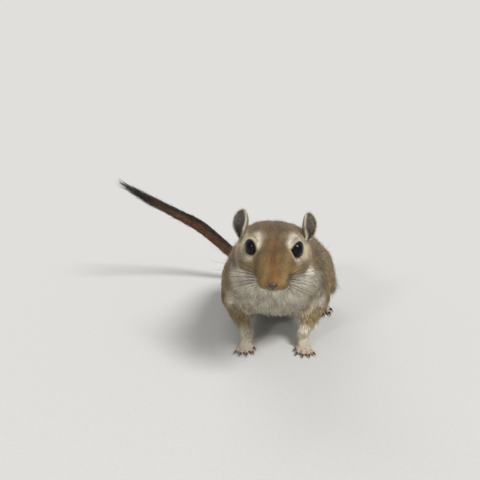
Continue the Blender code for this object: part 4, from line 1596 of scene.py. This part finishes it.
@dataclass
class Eye:
    """One eyeball and the lid round it.

    The lids stand open by lid_angle from the eye's axis, and by more to the nose, to the rear
    and at the front corner. The funnel is how the skin before the eye opens out: where it
    starts, how it rises and how it curves. The lid's profile gives degrees out from its rim
    and heights over the ball.
    """

    head: HeadPlace
    side_name: str
    columns: int = 56
    rows: int = 36
    bulge: float = 0.10
    lid_angle: dict = field(default_factory=lambda: {"left": 55.0, "right": 51.5})
    to_nose: dict = field(default_factory=lambda: {"left": 19.0, "right": 6.0})
    to_rear: float = 6.0
    corner: float = 6.0
    funnel: tuple = (1.0, 0.20, 0.03)
    funnel_reach: float = 2.6
    lid_profile: tuple = (
        (-2.0, 0.10), (-3.0, 0.20), (-1.5, 0.32), (2.0, 0.40), (7.0, 0.42), (14.0, 0.43), (24.0, 0.40),
        (34.0, 0.30), (42.0, 0.16), (42.0, 0.08), (20.0, 0.05), (3.0, 0.05),
    )
    lid_steps: int = 72
    nose_turn: float = 0.45
    corner_width: float = 0.42
    pupil: tuple = (0.42, 0.55)
    iris_edge: tuple = (0.85, 0.70)

    def frame(self) -> Matrix:
        """From the eye's own frame, looking along +Z, to the world's.

        Returns:
            The matrix, in metres.
        """
        side = SIDES[self.side_name]
        x, y, z = self.head.eye_axis
        axis = Vector((side * x, y, z)).normalized()
        up = Vector((0, 0, 1))
        over = up.cross(axis).normalized()
        turn = Matrix((over, axis.cross(over), axis)).transposed().to_4x4()
        middle = Matrix.Translation((side * self.head.eye_spread, 0, 0))
        return self.head.matrix() @ middle @ turn

    def rim(self, turn: Array) -> Array:
        """How wide the lids stand open, in degrees from the eye's axis.

        Args:
            turn: The way round the axis, in radians.

        Returns:
            The angle of the rim there.
        """
        from_nose = turn - (math.pi + self.nose_turn if SIDES[self.side_name] > 0 else -self.nose_turn)
        ahead = np.cos(from_nose)
        point = band(np.arctan2(np.sin(from_nose), ahead), 0.0, self.corner_width)
        made = self.lid_angle[self.side_name] + self.to_nose[self.side_name] * np.maximum(ahead, 0) ** 2
        return made + self.corner * point + self.to_rear * np.maximum(-ahead, 0) ** 2

    def cleared(self, points: Array) -> Array:
        """Moves what stands before the open eye in behind the ball's front.

        Args:
            points: World places on the skin.

        Returns:
            The places, with a funnel to the lid's rim.
        """
        place = np.array(self.frame())
        local = (points - place[:3, 3]) @ place[:3, :3] / MM**2
        reach = np.linalg.norm(local, axis=1)
        angle = np.degrees(np.arccos(np.clip(local[:, 2] / reach, -1, 1)))
        start, slope, curve = self.funnel
        past = angle - self.rim(np.arctan2(local[:, 1], local[:, 0])) - start
        over = np.maximum(past, 0)
        radius = self.head.eye_radius
        limit = radius - 0.15 + slope * over + curve * over**2
        held = ease(reach, radius + self.funnel_reach + 1.0, radius + self.funnel_reach)
        scale = 1 + (np.minimum(1.0, limit / reach) - 1) * held
        return moved(local * scale[:, None], self.frame())

    def ball(self) -> None:
        """Builds the eyeball, a little fuller at the cornea."""
        name, radius = f"eyeball_{self.side_name}", self.head.eye_radius
        mesh = sphere(name, self.columns, self.rows, radius)
        points = mesh_arrays(mesh)[0]
        points[:, 2] += self.bulge * (np.maximum(points[:, 2], 0) / radius) ** 3
        set_points(mesh, points)
        out = np.hypot(points[:, 0], points[:, 1]) / radius
        add_values(mesh, "iris", ease(out, *self.pupil) * ease(out, *self.iris_edge))
        mesh.transform(self.frame())
        placed(object_of(name, mesh), EyeFinish(), "eye_black", f"eye_{self.side_name}")

    def lid(self) -> Ground:
        """Builds the lid: a band over the ball with a rim darkened by painted shade where it meets the ball,
        drawn out to a corner towards the nose.

        Returns:
            The ground of its fur.
        """
        rows, offsets = [], []
        for k in range(self.lid_steps):
            turn = math.tau * k / self.lid_steps
            rim = float(self.rim(np.array(turn)))
            out = np.array((math.cos(turn), math.sin(turn), 0.0))
            for offset, above in self.lid_profile:
                angle = math.radians(rim + offset)
                reach = self.head.eye_radius + above * (1 + 0.10 * math.sin(3 * turn))
                rows.append((out * math.sin(angle) + np.array((0, 0, math.cos(angle)))) * reach)
                offsets.append(offset if above > 0.12 else -9.0)
        faces = ring_faces(self.lid_steps, len(self.lid_profile), closed=True)
        place = np.array(self.frame())
        points = moved(np.array(rows), self.frame())
        mesh = facing_out(mesh_from(f"lid_{self.side_name}", points, faces))
        offset = np.array(offsets)
        # Painted shade on the lid's rim against the ball and on its tucked-under rows
        add_values(mesh, "deep", ease(offset, 7.0, 2.5))
        obj = object_of(f"lid_{self.side_name}", mesh)
        way = unit(points - place[:3, 3]) - 1.2 * unit(place[:3, 2]) + (0.0, 0.35, 0.0)
        full = np.ones(len(points))
        ground = small_ground(
            obj, way, 0.75 * full, {Mark.CREAM: 0.9 * full, Mark.BEIGE: 0.6 * full},
            ease(offset, 3.0, 7.0), raised=0.8,
        )
        placed(obj, LID_SKIN, "fur_sandy")
        return ground


def ring_faces(rings: int, sides: int, closed: bool) -> Array:
    """Faces of four corners between rings of points.

    Args:
        rings: How many rings there are.
        sides: How many points a ring has.
        closed: Whether the last ring joins the first.

    Returns:
        The faces, one a row.
    """
    faces = []
    for i in range(rings if closed else rings - 1):
        for j in range(sides):
            a, b = i * sides + j, i * sides + (j + 1) % sides
            up = ((i + 1) % rings) * sides
            faces.append((a, b, up + (j + 1) % sides, up + j))
    return np.array(faces)


def facing_out(mesh: Mesh) -> Mesh:
    """Turns a closed mesh's faces out.

    Args:
        mesh: The mesh.

    Returns:
        The same mesh.
    """
    bm = bmesh.new()
    bm.from_mesh(mesh)
    bmesh.ops.recalc_face_normals(bm, faces=bm.faces)
    if bm.calc_volume(signed=True) < 0:
        bmesh.ops.reverse_faces(bm, faces=bm.faces)
    bm.to_mesh(mesh)
    bm.free()
    return mesh


def tapered_tube(name: str, line: Array, radii: Array, sides: int) -> Mesh:
    """A closed tube along a line, its last point a tip.

    Args:
        name: The mesh's name.
        line: The middle line's points.
        radii: The radius at each of them.
        sides: How many sides it has.

    Returns:
        The mesh, with its share of the way along as the value along.
    """
    ways = unit(np.gradient(line, axis=0))
    over = unit(np.cross(ways, (0.13, 0.21, 0.97)))
    high = np.cross(over, ways)
    turns = np.arange(sides) * math.tau / sides
    ring = np.cos(turns)[None, :, None] * over[:, None] + np.sin(turns)[None, :, None] * high[:, None]
    points = (line[:, None] + ring * radii[:, None, None]).reshape(-1, 3)
    bm = bmesh.new()
    verts = [bm.verts.new(point) for point in points.tolist()]
    for face in ring_faces(len(line), sides, closed=False).tolist():
        bm.faces.new([verts[k] for k in face])
    bm.faces.new(verts[:sides][::-1])
    bm.faces.new(verts[-sides:])
    bmesh.ops.recalc_face_normals(bm, faces=bm.faces)
    mesh = bpy.data.meshes.new(name)
    bm.to_mesh(mesh)
    bm.free()
    add_values(mesh, "along", np.repeat(np.linspace(0, 1, len(line)), sides))
    mesh.shade_smooth()
    return mesh


def joined(name: str, meshes: list[Mesh]) -> Object:
    """One object of several meshes, which keep their values.

    Args:
        name: The object's name.
        meshes: The meshes.

    Returns:
        The object.
    """
    parts = [object_of(name, mesh) for mesh in meshes]
    with bpy.context.temp_override(active_object=parts[0], selected_editable_objects=parts):
        bpy.ops.object.join()
    parts[0].name = name
    return parts[0]


@dataclass
class Ear:
    """One ear: a thin cup, folded at its root, that faces out and ahead.

    Each of the cups gives a share of the ear's length, a radius in millimetres and how far it
    wraps to each side, in degrees. Thick is the thickness at the root and at the edge.
    """

    head: HeadPlace
    side_name: str
    root: tuple = (11.7, 10.9, -1.8)
    axis: tuple = (0.32, 0.10, 0.94)
    facing: tuple = (0.74, -0.67, 0.0)
    length: float = 9.9
    lean: float = 1.2
    cups: tuple = (
        (-0.08, 1.7, 118), (0.0, 1.9, 118), (0.2, 2.5, 110), (0.38, 3.35, 92), (0.56, 4.2, 74),
        (0.74, 4.6, 58), (0.88, 4.5, 41), (0.965, 4.15, 24), (1.0, 4.0, 8),
    )
    across: int = 30
    spans: int = 4
    thick: tuple = (0.80, 0.30)

    def grid(self) -> tuple[Array, Array]:
        """The middle surface of the ear, in the head's frame, and its way out at the back.

        Returns:
            Points by row and column, and the direction to the ear's back at each.
        """
        side = SIDES[self.side_name]
        mirror = np.array((side, 1, 1))
        axis = unit(np.array(self.axis) * mirror)
        facing = np.array(self.facing) * mirror
        facing = unit(facing - axis * (facing @ axis))
        over = np.cross(axis, facing)
        points, outs = [], []
        for share, radius, wrap in curve_through(np.array(self.cups, float), self.spans):
            centre = np.array(self.root) * mirror + axis * self.length * share
            centre = centre + facing * (radius * 0.55 - self.lean * share**2)
            for k in range(self.across + 1):
                turn = math.radians(wrap) * (2 * k / self.across - 1)
                out = -facing * math.cos(turn) + over * math.sin(turn)
                fold = 0.16 * math.sin(turn * 3.0) * band(share, 0.55, 0.25)
                points.append(centre + out * (radius + fold))
                outs.append(out)
        rows = len(points) // (self.across + 1)
        shape = (rows, self.across + 1, 3)
        return np.array(points).reshape(shape), np.array(outs).reshape(shape)

    def build(self) -> Ground:
        """Builds the ear.

        Returns:
            The ground of its fur.
        """
        points, outs = self.grid()
        rows, columns, _ = points.shape
        share = np.linspace(0, 1, rows)[:, None]
        column = np.abs(np.linspace(-1, 1, columns))[None]
        thick = self.thick[0] + (self.thick[1] - self.thick[0]) * np.maximum(share**0.8, column**3)
        back = points + outs * thick[:, :, None] / 2
        front = points - outs * thick[:, :, None] / 2
        world_back, world_front = (self.head.world(side.reshape(-1, 3)) for side in (back, front))
        every = np.vstack([world_back, world_front])
        count = rows * columns

        faces = []
        for i in range(rows - 1):
            for j in range(columns - 1):
                a = i * columns + j
                faces.append((a, a + 1, a + columns + 1, a + columns))
                faces.append((count + a, count + a + columns, count + a + columns + 1, count + a + 1))
        edge = [(0, j) for j in range(columns)] + [(i, columns - 1) for i in range(1, rows)]
        edge += [(rows - 1, j) for j in range(columns - 2, -1, -1)] + [(i, 0) for i in range(rows - 2, 0, -1)]
        ring = [i * columns + j for i, j in edge]
        for a, b in zip(ring, ring[1:] + ring[:1]):
            faces.append((b, a, count + a, count + b))
        mesh = facing_out(mesh_from(f"ear_shell_{self.side_name}", every, np.array(faces)))
        inside = np.concatenate([np.zeros(count), np.ones(count)])
        level = np.tile(np.broadcast_to(share, (rows, columns)).ravel(), 2)
        ahead = (1 - SIDES[self.side_name] * np.linspace(-1, 1, columns)) / 2
        ahead = np.tile(np.broadcast_to(ahead[None], (rows, columns)).ravel(), 2)
        add_values(mesh, "inside", inside)
        # Painted shade low inside the cup, away from its front edge
        add_values(mesh, "deep", inside * ease(level, 0.62, 0.26) * ease(ahead, 0.95, 0.70))
        add_values(mesh, "fold", inside * ease(ahead, 0.60, 0.82) * ease(level, 0.95, 0.70))
        obj = object_of(f"ear_shell_{self.side_name}", mesh)
        soft = obj.modifiers.new("soft", "SUBSURF")
        soft.levels = soft.render_levels = 1
        applied(obj)
        obj.data.shade_smooth()
        ground = self.ground(obj)
        placed(obj, EarFinish(), "skin_ear", f"ear_{self.side_name}")
        return ground

    def ground(self, obj: Object) -> Ground:
        """The ear as a ground for short fur: dense behind, pale on the rim and the front fold.

        Args:
            obj: The ear.

        Returns:
            The ground.
        """
        side = SIDES[self.side_name]
        points, normals, _, _ = mesh_arrays(obj.data)
        local = self.head.local(points)
        shell, outs = self.grid()
        flat, ways = shell.reshape(-1, 3), outs.reshape(-1, 3)
        nearest = np.array([((flat - point) ** 2).sum(1).argmin() for point in local])
        row, column = np.divmod(nearest, shell.shape[1])
        height = row / (shell.shape[0] - 1)
        edge = np.abs(2 * column / (shell.shape[1] - 1) - 1)
        turned = self.head.turned(ways)[nearest]
        behind = ((turned * normals).sum(1) > -0.25).astype(float)
        rim = np.maximum(ease(edge, 0.86, 0.98), ease(height, 0.92, 0.99))
        front = (1 - side * (2 * column / (shell.shape[1] - 1) - 1)) / 2
        fold = (1 - behind) * ease(front, 0.62, 0.85) * ease(height, 0.85, 0.65)
        axis = self.head.turned(np.array([[side * self.axis[0], self.axis[1], self.axis[2]]]))[0]
        lie = np.broadcast_to(axis, points.shape) + turned * 0.15
        cream = np.clip(rim * 0.75 + (1 - behind) * 0.45 + 0.3 * fold, 0, 1)
        share = np.clip(0.6 * behind + 0.8 * rim + 0.9 * fold + 0.08, 0, 1) * ease(height, -0.02, 0.12)
        return small_ground(
            obj, lie, 1.0 + 0.2 * rim + 1.3 * fold, {Mark.CREAM: cream, Mark.BEIGE: 0.5 * behind}, share, 0.25
        )


@dataclass
class Nose:
    """The small bare pad with its two nostrils."""

    head: HeadPlace
    centre: tuple = (0.0, -17.45, -4.90)
    radii: tuple = (1.55, 1.25, 1.10)
    nostril: tuple = (0.90, -18.42, -4.95)
    nostril_radii: tuple = (0.46, 0.75, 0.30)
    nostril_tilt: float = 0.55
    nostril_depth: float = 0.60
    groove_width: float = 0.16
    groove_depth: float = 0.25
    narrower_below: float = 0.18
    columns: int = 56
    rows: int = 36

    def build(self) -> None:
        """Builds the nose."""
        mesh = sphere("nose", self.columns, self.rows, 1.0)
        ball = mesh_arrays(mesh)[0]
        ball[:, 0] *= 1 - self.narrower_below * ease(ball[:, 2], 0.2, -1.0)
        local = ball * self.radii + self.centre
        tilt = folded(local)
        tilt[:, 2] -= self.nostril_tilt * (tilt[:, 0] - self.nostril[0])
        hole = Spot(self.nostril, self.nostril_radii).on(tilt)
        groove = band(local[:, 0], 0.0, self.groove_width)
        groove *= ease(local[:, 2], -4.3, -5.2) * ease(local[:, 1], -17.8, -18.4)
        local[:, 1] += self.nostril_depth * hole + self.groove_depth * groove
        set_points(mesh, self.head.world(local))
        # Painted shade inside the nostrils and along the groove between them
        add_values(mesh, "deep", np.clip(hole * 1.6 + 0.7 * groove, 0, 1))
        placed(object_of("nose", facing_out(mesh)), NOSE_SKIN, "skin_ear")


@dataclass
class Whiskers:
    """The stiff hairs of the muzzle, in rows on each pad, and a few over each eye."""

    head: HeadPlace
    seed: int = 31
    rows: int = 5
    in_row: int = 5
    over_eye: int = 2
    radius: float = 0.062
    steps: int = 12
    sides: int = 5

    def one(self, root: Array, way: Array, length: float, drop: float, thick: float = 1.0) -> Mesh:
        """One whisker, in the head's frame.

        Args:
            root: Where it starts.
            way: Which way it leaves.
            length: How long it is.
            drop: How far its tip sinks.
            thick: Its thickness, as a share of the usual.

        Returns:
            Its mesh.
        """
        share = np.linspace(0, 1, self.steps)[:, None]
        bend = np.array((0.0, 0.32, -1.0)) * drop
        line = root + unit(way) * length * share + bend * share**2
        radii = self.radius * thick * (1 - 0.90 * share[:, 0] ** 1.2)
        return tapered_tube("whisker", self.head.world(line), radii * MM, self.sides)

    def rooted(
        self, tree: BVHTree, aim: Array, come_from: tuple, go_on: tuple, sunk: tuple = (0.0, 0.0, 0.0),
    ) -> Array:
        """Where a line through a place meets the skin, in the head's frame.

        Args:
            tree: The skin's triangles.
            aim: The place.
            come_from: How far from it the line starts.
            go_on: How far from it the line ends.
            sunk: How far the root goes on into the skin.

        Returns:
            The root, or the place itself where no skin is met.
        """
        far, near = (Vector(point) for point in self.head.world(aim + np.array([come_from, go_on])))
        hit = tree.ray_cast(far, (near - far).normalized())[0]
        return self.head.local(np.array([hit]))[0] + sunk if hit else aim

    def build(self, tree: BVHTree) -> None:
        """Builds all whiskers as one piece.

        Args:
            tree: The skin's triangles, where they are rooted.
        """
        draw = np.random.default_rng(self.seed)
        meshes = []
        for side in SIDES.values():
            for row in range(self.rows):
                for place in range(self.in_row):
                    level = -4.2 - 0.85 * row + draw.uniform(-0.2, 0.2)
                    aim = np.array((side * (3.2 + 0.35 * place), -14.6 + 1.25 * place + 0.3 * row, level))
                    root = self.rooted(
                        tree, aim, (side * 12.0, -3.0, 0.0), (-side * 3.0, 0, 0), (-side * 0.2, 0, 0)
                    )
                    way = np.array((
                        side * 1.0, -0.30 + 0.22 * place + draw.uniform(-0.08, 0.08),
                        0.42 - 0.20 * row + draw.uniform(-0.06, 0.06),
                    ))
                    length = (11 + 3.2 * place) * draw.uniform(0.85, 1.08)
                    meshes.append(self.one(root, way, length, length * draw.uniform(0.10, 0.26)))
            for place in range(self.over_eye):
                aim = np.array((side * (6.2 + 0.8 * place), -1.5 + 1.8 * place, 3.6))
                root = self.rooted(tree, aim, (side * 3.0, -3.0, 9.0), (-side * 1.0, 0, -2.0))
                meshes.append(self.one(root, np.array((side * 0.75, 0.05, 0.8)), 11.0 + 2 * place, 2.5, 0.6))
        placed(joined("whiskers", meshes), WHISKER_HAIR, "fur_sandy")


@dataclass(frozen=True)
class Foot:
    """One kind of foot.

    Middle is how far both feet stand to the left, and heel is how far aside and back each one
    is. Turn is how far it points out. Each toe gives how far ahead and aside it starts, its
    splay in degrees and its length.
    """

    middle: float
    heel: tuple
    turn: float
    radius: float
    claw: float
    toes: tuple

    def rays(self, side: int, floor: Array) -> list[tuple[Array, Array, float]]:
        """The toes' starts, ways and lengths.

        Args:
            side: 1 on the left, -1 on the right.
            floor: The point of the floor under the eyes.

        Returns:
            A start in metres, a way and a length in millimetres for each toe.
        """
        ahead = np.array((side * math.sin(self.turn), -math.cos(self.turn), 0.0))
        out = np.array((side * math.cos(self.turn), math.sin(self.turn), 0.0))
        start = np.array((self.middle + side * self.heel[0], self.heel[1], 0.0))
        made = []
        for far, aside, splay, length in self.toes:
            angle = math.radians(splay)
            way = ahead * math.cos(angle) + out * math.sin(angle)
            made.append(((start + ahead * far + out * aside) * MM + floor, way, length))
        return made


FEET = {
    "forefoot": Foot(middle=0.8, heel=(12.2, 28.4), turn=math.radians(4), radius=0.92, claw=2.0, toes=(
        (8.2, 2.2, 20, 4.2), (9.0, 0.8, 6, 5.0), (9.0, -0.8, -7, 4.9), (8.0, -2.2, -22, 4.0),
        (5.6, -2.5, -38, 2.0),
    )),
    "hindfoot": Foot(middle=3.4, heel=(17.6, 89.4), turn=math.radians(7), radius=1.12, claw=2.7, toes=(
        (16.2, 3.0, 16, 6.6), (19.8, 2.0, 8, 7.8), (20.2, 0.0, 0, 8.4), (19.6, -2.0, -7, 7.6),
        (14.8, -3.0, -16, 5.2),
    )),
}


@dataclass
class FeetSkin:
    """The feet in finer detail, over the skin: toes with knuckles, and pads below."""

    head: HeadPlace
    grain: float = 0.24
    soften: int = 9
    depth: float = 0.14
    knuckles: tuple = (0.28, 0.66)
    crease: float = 0.47
    toe_pad: float = 0.92

    def build(self, nodes: dict) -> Ground:
        """Builds the feet as one piece.

        Args:
            nodes: The frame's objects by name.

        Returns:
            The ground of their fur.
        """
        obj = merged("feet_skin", [nodes[f"{word}_{side}"] for word in FEET for side in SIDES])[0]
        made_even(obj, self.grain)
        set_points(obj.data, spread(mesh_arrays(obj.data)[0], edges_of(obj.data), self.soften))
        points, normals, _, _ = mesh_arrays(obj.data)
        bumps, on_toes = self.bumps(points)
        set_points(obj.data, points + normals * (bumps - self.depth)[:, None] * MM)
        points, normals, _, _ = mesh_arrays(obj.data)
        level = points[:, 2] / MM
        sole = np.maximum(ease(normals[:, 2], -0.25, -0.65), ease(level, 0.75, 0.35))
        bare = np.clip(np.maximum(sole, 0.25 * on_toes), 0, 1)
        full = np.ones(len(points))
        ground = small_ground(
            obj, full[:, None] * (0.0, -1.0, -0.25), 1.5 - 0.85 * on_toes + 1.4 * ease(level, 3.0, 6.5),
            {Mark.BARE: bare, Mark.CREAM: 0.8 * full, Mark.BEIGE: 0.8 * full}, full,
        )
        placed(obj, SkinFinish(), "skin_foot")
        return ground

    def bumps(self, points: Array) -> tuple[Array, Array]:
        """The knuckles and toe pads.

        Args:
            points: The feet's vertices.

        Returns:
            How far each vertex goes out, in millimetres, and how much of it is a toe.
        """
        out, toe = np.zeros(len(points)), np.zeros(len(points))
        for foot in FEET.values():
            for side in SIDES.values():
                for start, way, length in foot.rays(side, self.head.floor()):
                    local = (points - start) / MM
                    along = local @ way / length
                    aside = np.linalg.norm((local - np.outer(local @ way, way))[:, :2], axis=1)
                    close = ease(aside, foot.radius * 1.5, foot.radius * 0.9)
                    on = close * ease(along, 0.0, 0.35) * ease(along, 1.6, 1.3)
                    toe = np.maximum(toe, on)
                    for knuckle in self.knuckles:
                        out += 0.10 * on * band(along, knuckle, 0.10)
                    out += 0.12 * on * band(along, self.toe_pad, 0.16) * ease(local[:, 2], 1.0, 0.4)
                    out -= 0.07 * on * band(along, self.crease, 0.08)
        return out, toe


@dataclass
class Claws:
    """The dark horn of all claws, on the tips of the toes.

    Each row of the profile gives a place as a share of the claw's length, a height as a share
    of the toe's radius, and a thickness.
    """

    head: HeadPlace
    share: float = 0.46
    start: float = 0.90
    profile: tuple = (
        (-0.45, 1.00, 0.70), (-0.1, 1.20, 1.0), (0.3, 1.25, 0.85), (0.7, 0.92, 0.52), (1.0, 0.40, 0.10),
    )
    thinnest: float = 0.04
    spans: int = 4
    sides: int = 9

    def build(self) -> None:
        """Builds the claws of the four feet as one piece."""
        meshes = []
        for foot in FEET.values():
            for side in SIDES.values():
                for start, way, length in foot.rays(side, self.head.floor()):
                    rows = curve_through(np.array(self.profile), self.spans)
                    ahead = self.start * length + foot.claw * rows[:, 0]
                    line = start + way * ahead[:, None] * MM
                    line[:, 2] = foot.radius * rows[:, 1] * MM
                    radii = np.maximum(foot.radius * self.share * rows[:, 2], self.thinnest)
                    meshes.append(tapered_tube("claw", line, radii * MM, self.sides))
        placed(joined("claws", meshes), CLAW_HORN, "skin_foot")


@dataclass(frozen=True)
class Sun:
    """A sun of the studio: where it stands from what it lights, its power, its width and its colour."""

    name: str
    place: tuple
    power: float
    angle: float
    colour: tuple = (1.0, 1.0, 1.0)

    def build(self, aim: Vector) -> None:
        """Sets the sun up.

        Args:
            aim: What it points at.
        """
        data = bpy.data.lights.new(self.name, "SUN")
        data.energy = self.power
        data.color = self.colour
        data.angle = math.radians(self.angle)
        lamp = bpy.data.objects.new(self.name, data)
        bpy.context.scene.collection.objects.link(lamp)
        lamp.location = aim + Vector(self.place)
        lamp.rotation_euler = (-Vector(self.place)).to_track_quat("-Z", "Y").to_euler()

    def on_floor(self) -> float:
        """How much of its light a level floor takes."""
        return self.power * Vector(self.place).normalized().z / math.pi


@dataclass(frozen=True)
class Studio:
    """A pale floor that fades into a sky of the same colour, soft light and the photo's camera."""

    camera_back: float = 0.24512
    camera_up: float = 0.07029
    camera_tilt: float = math.radians(90 - 15.36)
    camera_turn: float = math.radians(3.05)
    lens: float = 670 / 480 * 36
    sensor: float = 36.0
    nearest: float = 0.01
    floor_radius: float = 30.0
    floor_corners: int = 96
    floor_finish: FloorFinish = FloorFinish()
    sky: float = 0.37
    suns: tuple = (
        Sun("key", (0.50, -0.40, 0.80), 2.5, 22),
        Sun("fill", (-0.24, -0.42, 0.24), 0.60, 7.4, (1.0, 0.99, 0.97)),
        Sun("rim", (-0.25, 0.75, 0.60), 0.7, 40),
    )

    def floor(self) -> None:
        """Lays a wide floor."""
        bpy.ops.mesh.primitive_circle_add(
            vertices=self.floor_corners, radius=self.floor_radius, fill_type="TRIFAN"
        )
        floor = bpy.context.object
        floor.name = "floor"
        floor.data.materials.append(self.floor_finish.make())

    def world(self) -> None:
        """Makes a sky that lights softly, and that the camera sees as bright as the lit floor."""
        world = bpy.data.worlds.new("studio")
        bpy.context.scene.world = world
        world.use_nodes = True
        tree = world.node_tree
        light = tree.nodes["Background"]
        seen = tree.nodes.new("ShaderNodeBackground")
        bright = self.sky + sum(sun.on_floor() for sun in self.suns)
        for node, colour, strength in (
            (light, (1.0, 1.0, 1.0), self.sky), (seen, self.floor_finish.colour, bright),
        ):
            node.inputs["Color"].default_value = opaque(colour)
            node.inputs["Strength"].default_value = strength
        path = tree.nodes.new("ShaderNodeLightPath")
        blend = tree.nodes.new("ShaderNodeMixShader")
        tree.links.new(path.outputs["Is Camera Ray"], blend.inputs[0])
        tree.links.new(light.outputs[0], blend.inputs[1])
        tree.links.new(seen.outputs[0], blend.inputs[2])
        tree.links.new(blend.outputs[0], tree.nodes["World Output"].inputs["Surface"])

    def camera(self, aim: Vector) -> None:
        """Sets up the photo's camera.

        Args:
            aim: The point midway between the eyes.
        """
        data = bpy.data.cameras.new("photo_camera")
        data.lens = self.lens
        data.sensor_width = self.sensor
        data.clip_start = self.nearest
        camera = bpy.data.objects.new("photo_camera", data)
        bpy.context.scene.collection.objects.link(camera)
        camera.location = aim + Vector((0, -self.camera_back, self.camera_up))
        camera.rotation_euler = (self.camera_tilt, 0.0, self.camera_turn)
        bpy.context.scene.camera = camera

    def build(self, head: HeadPlace) -> None:
        """Builds the floor, lights, world and camera.

        Args:
            head: Where the head is.
        """
        self.floor()
        self.world()
        for sun in self.suns:
            sun.build(head.middle())
        self.camera(head.middle())
        bpy.context.scene.view_settings.view_transform = "Standard"


def coats() -> list[Coat]:
    """The kinds of fur on the skin, from the nose to the tail.

    Returns:
        The coats, each with its name, slot, count, seed, regions, widths and lift.
    """
    legs = (Region.FORELEG, Region.THIGH)
    long_steps = ((0.24, 1.0), (0.62, 0.78))
    return [
        Coat("coat_face", "fur_sandy", 72000, 101, (Region.HEAD,), (0.10, 0.16), (24.0, -4.0), gather=0.28),
        Coat("coat_neck", "fur_cream", 30000, 102, (Region.NECK,), (0.14, 0.21), gather=0.24),
        Coat("coat_body", "fur_sandy", 76000, 103, (Region.TORSO,), (0.16, 0.26), gather=0.24),
        Coat("coat_legs", "fur_sandy", 28000, 104, legs, (0.13, 0.21), gather=0.24),
        Coat("coat_tail", "fur_tail", 9500, 106, (Region.TAIL,), (0.14, 0.24), (20.0, 4.0), steps=long_steps),
    ]


def main() -> None:
    """Builds the gerbil, piece by piece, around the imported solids."""
    logging.basicConfig(level=logging.INFO, format="%(name)s %(message)s")
    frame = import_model()
    head, tail = HeadPlace(), TailLine()
    nodes, everywhere = frame["nodes"], (Region.HEAD,)

    ground = Skin(head, tail).build(nodes)
    for coat in coats():
        coat.build(ground)
    feet_ground = FeetSkin(head).build(nodes)
    Coat("coat_feet", "skin_foot", 9000, 105, everywhere, (0.07, 0.11), (16.0, 0.0)).build(feet_ground)
    Claws(head).build()
    for side, way in SIDES.items():
        eye = Eye(head, side)
        eye.ball()
        lid_ground = eye.lid()
        ear_ground = Ear(head, side).build()
        Coat(f"coat_lid_{side}", "fur_sandy", 2200, 120 + way, everywhere, (0.06, 0.09)).build(lid_ground)
        ear_hair = Coat(f"coat_ear_{side}", "skin_ear", 5000, 110 + way, everywhere, (0.05, 0.08), (22, 6))
        ear_hair.build(ear_ground)
    Nose(head).build()
    Whiskers(head).build(BVHTree.FromPolygons(ground.points.tolist(), ground.triangles.tolist()))
    Studio().build(head)


if __name__ == "__main__":
    main()
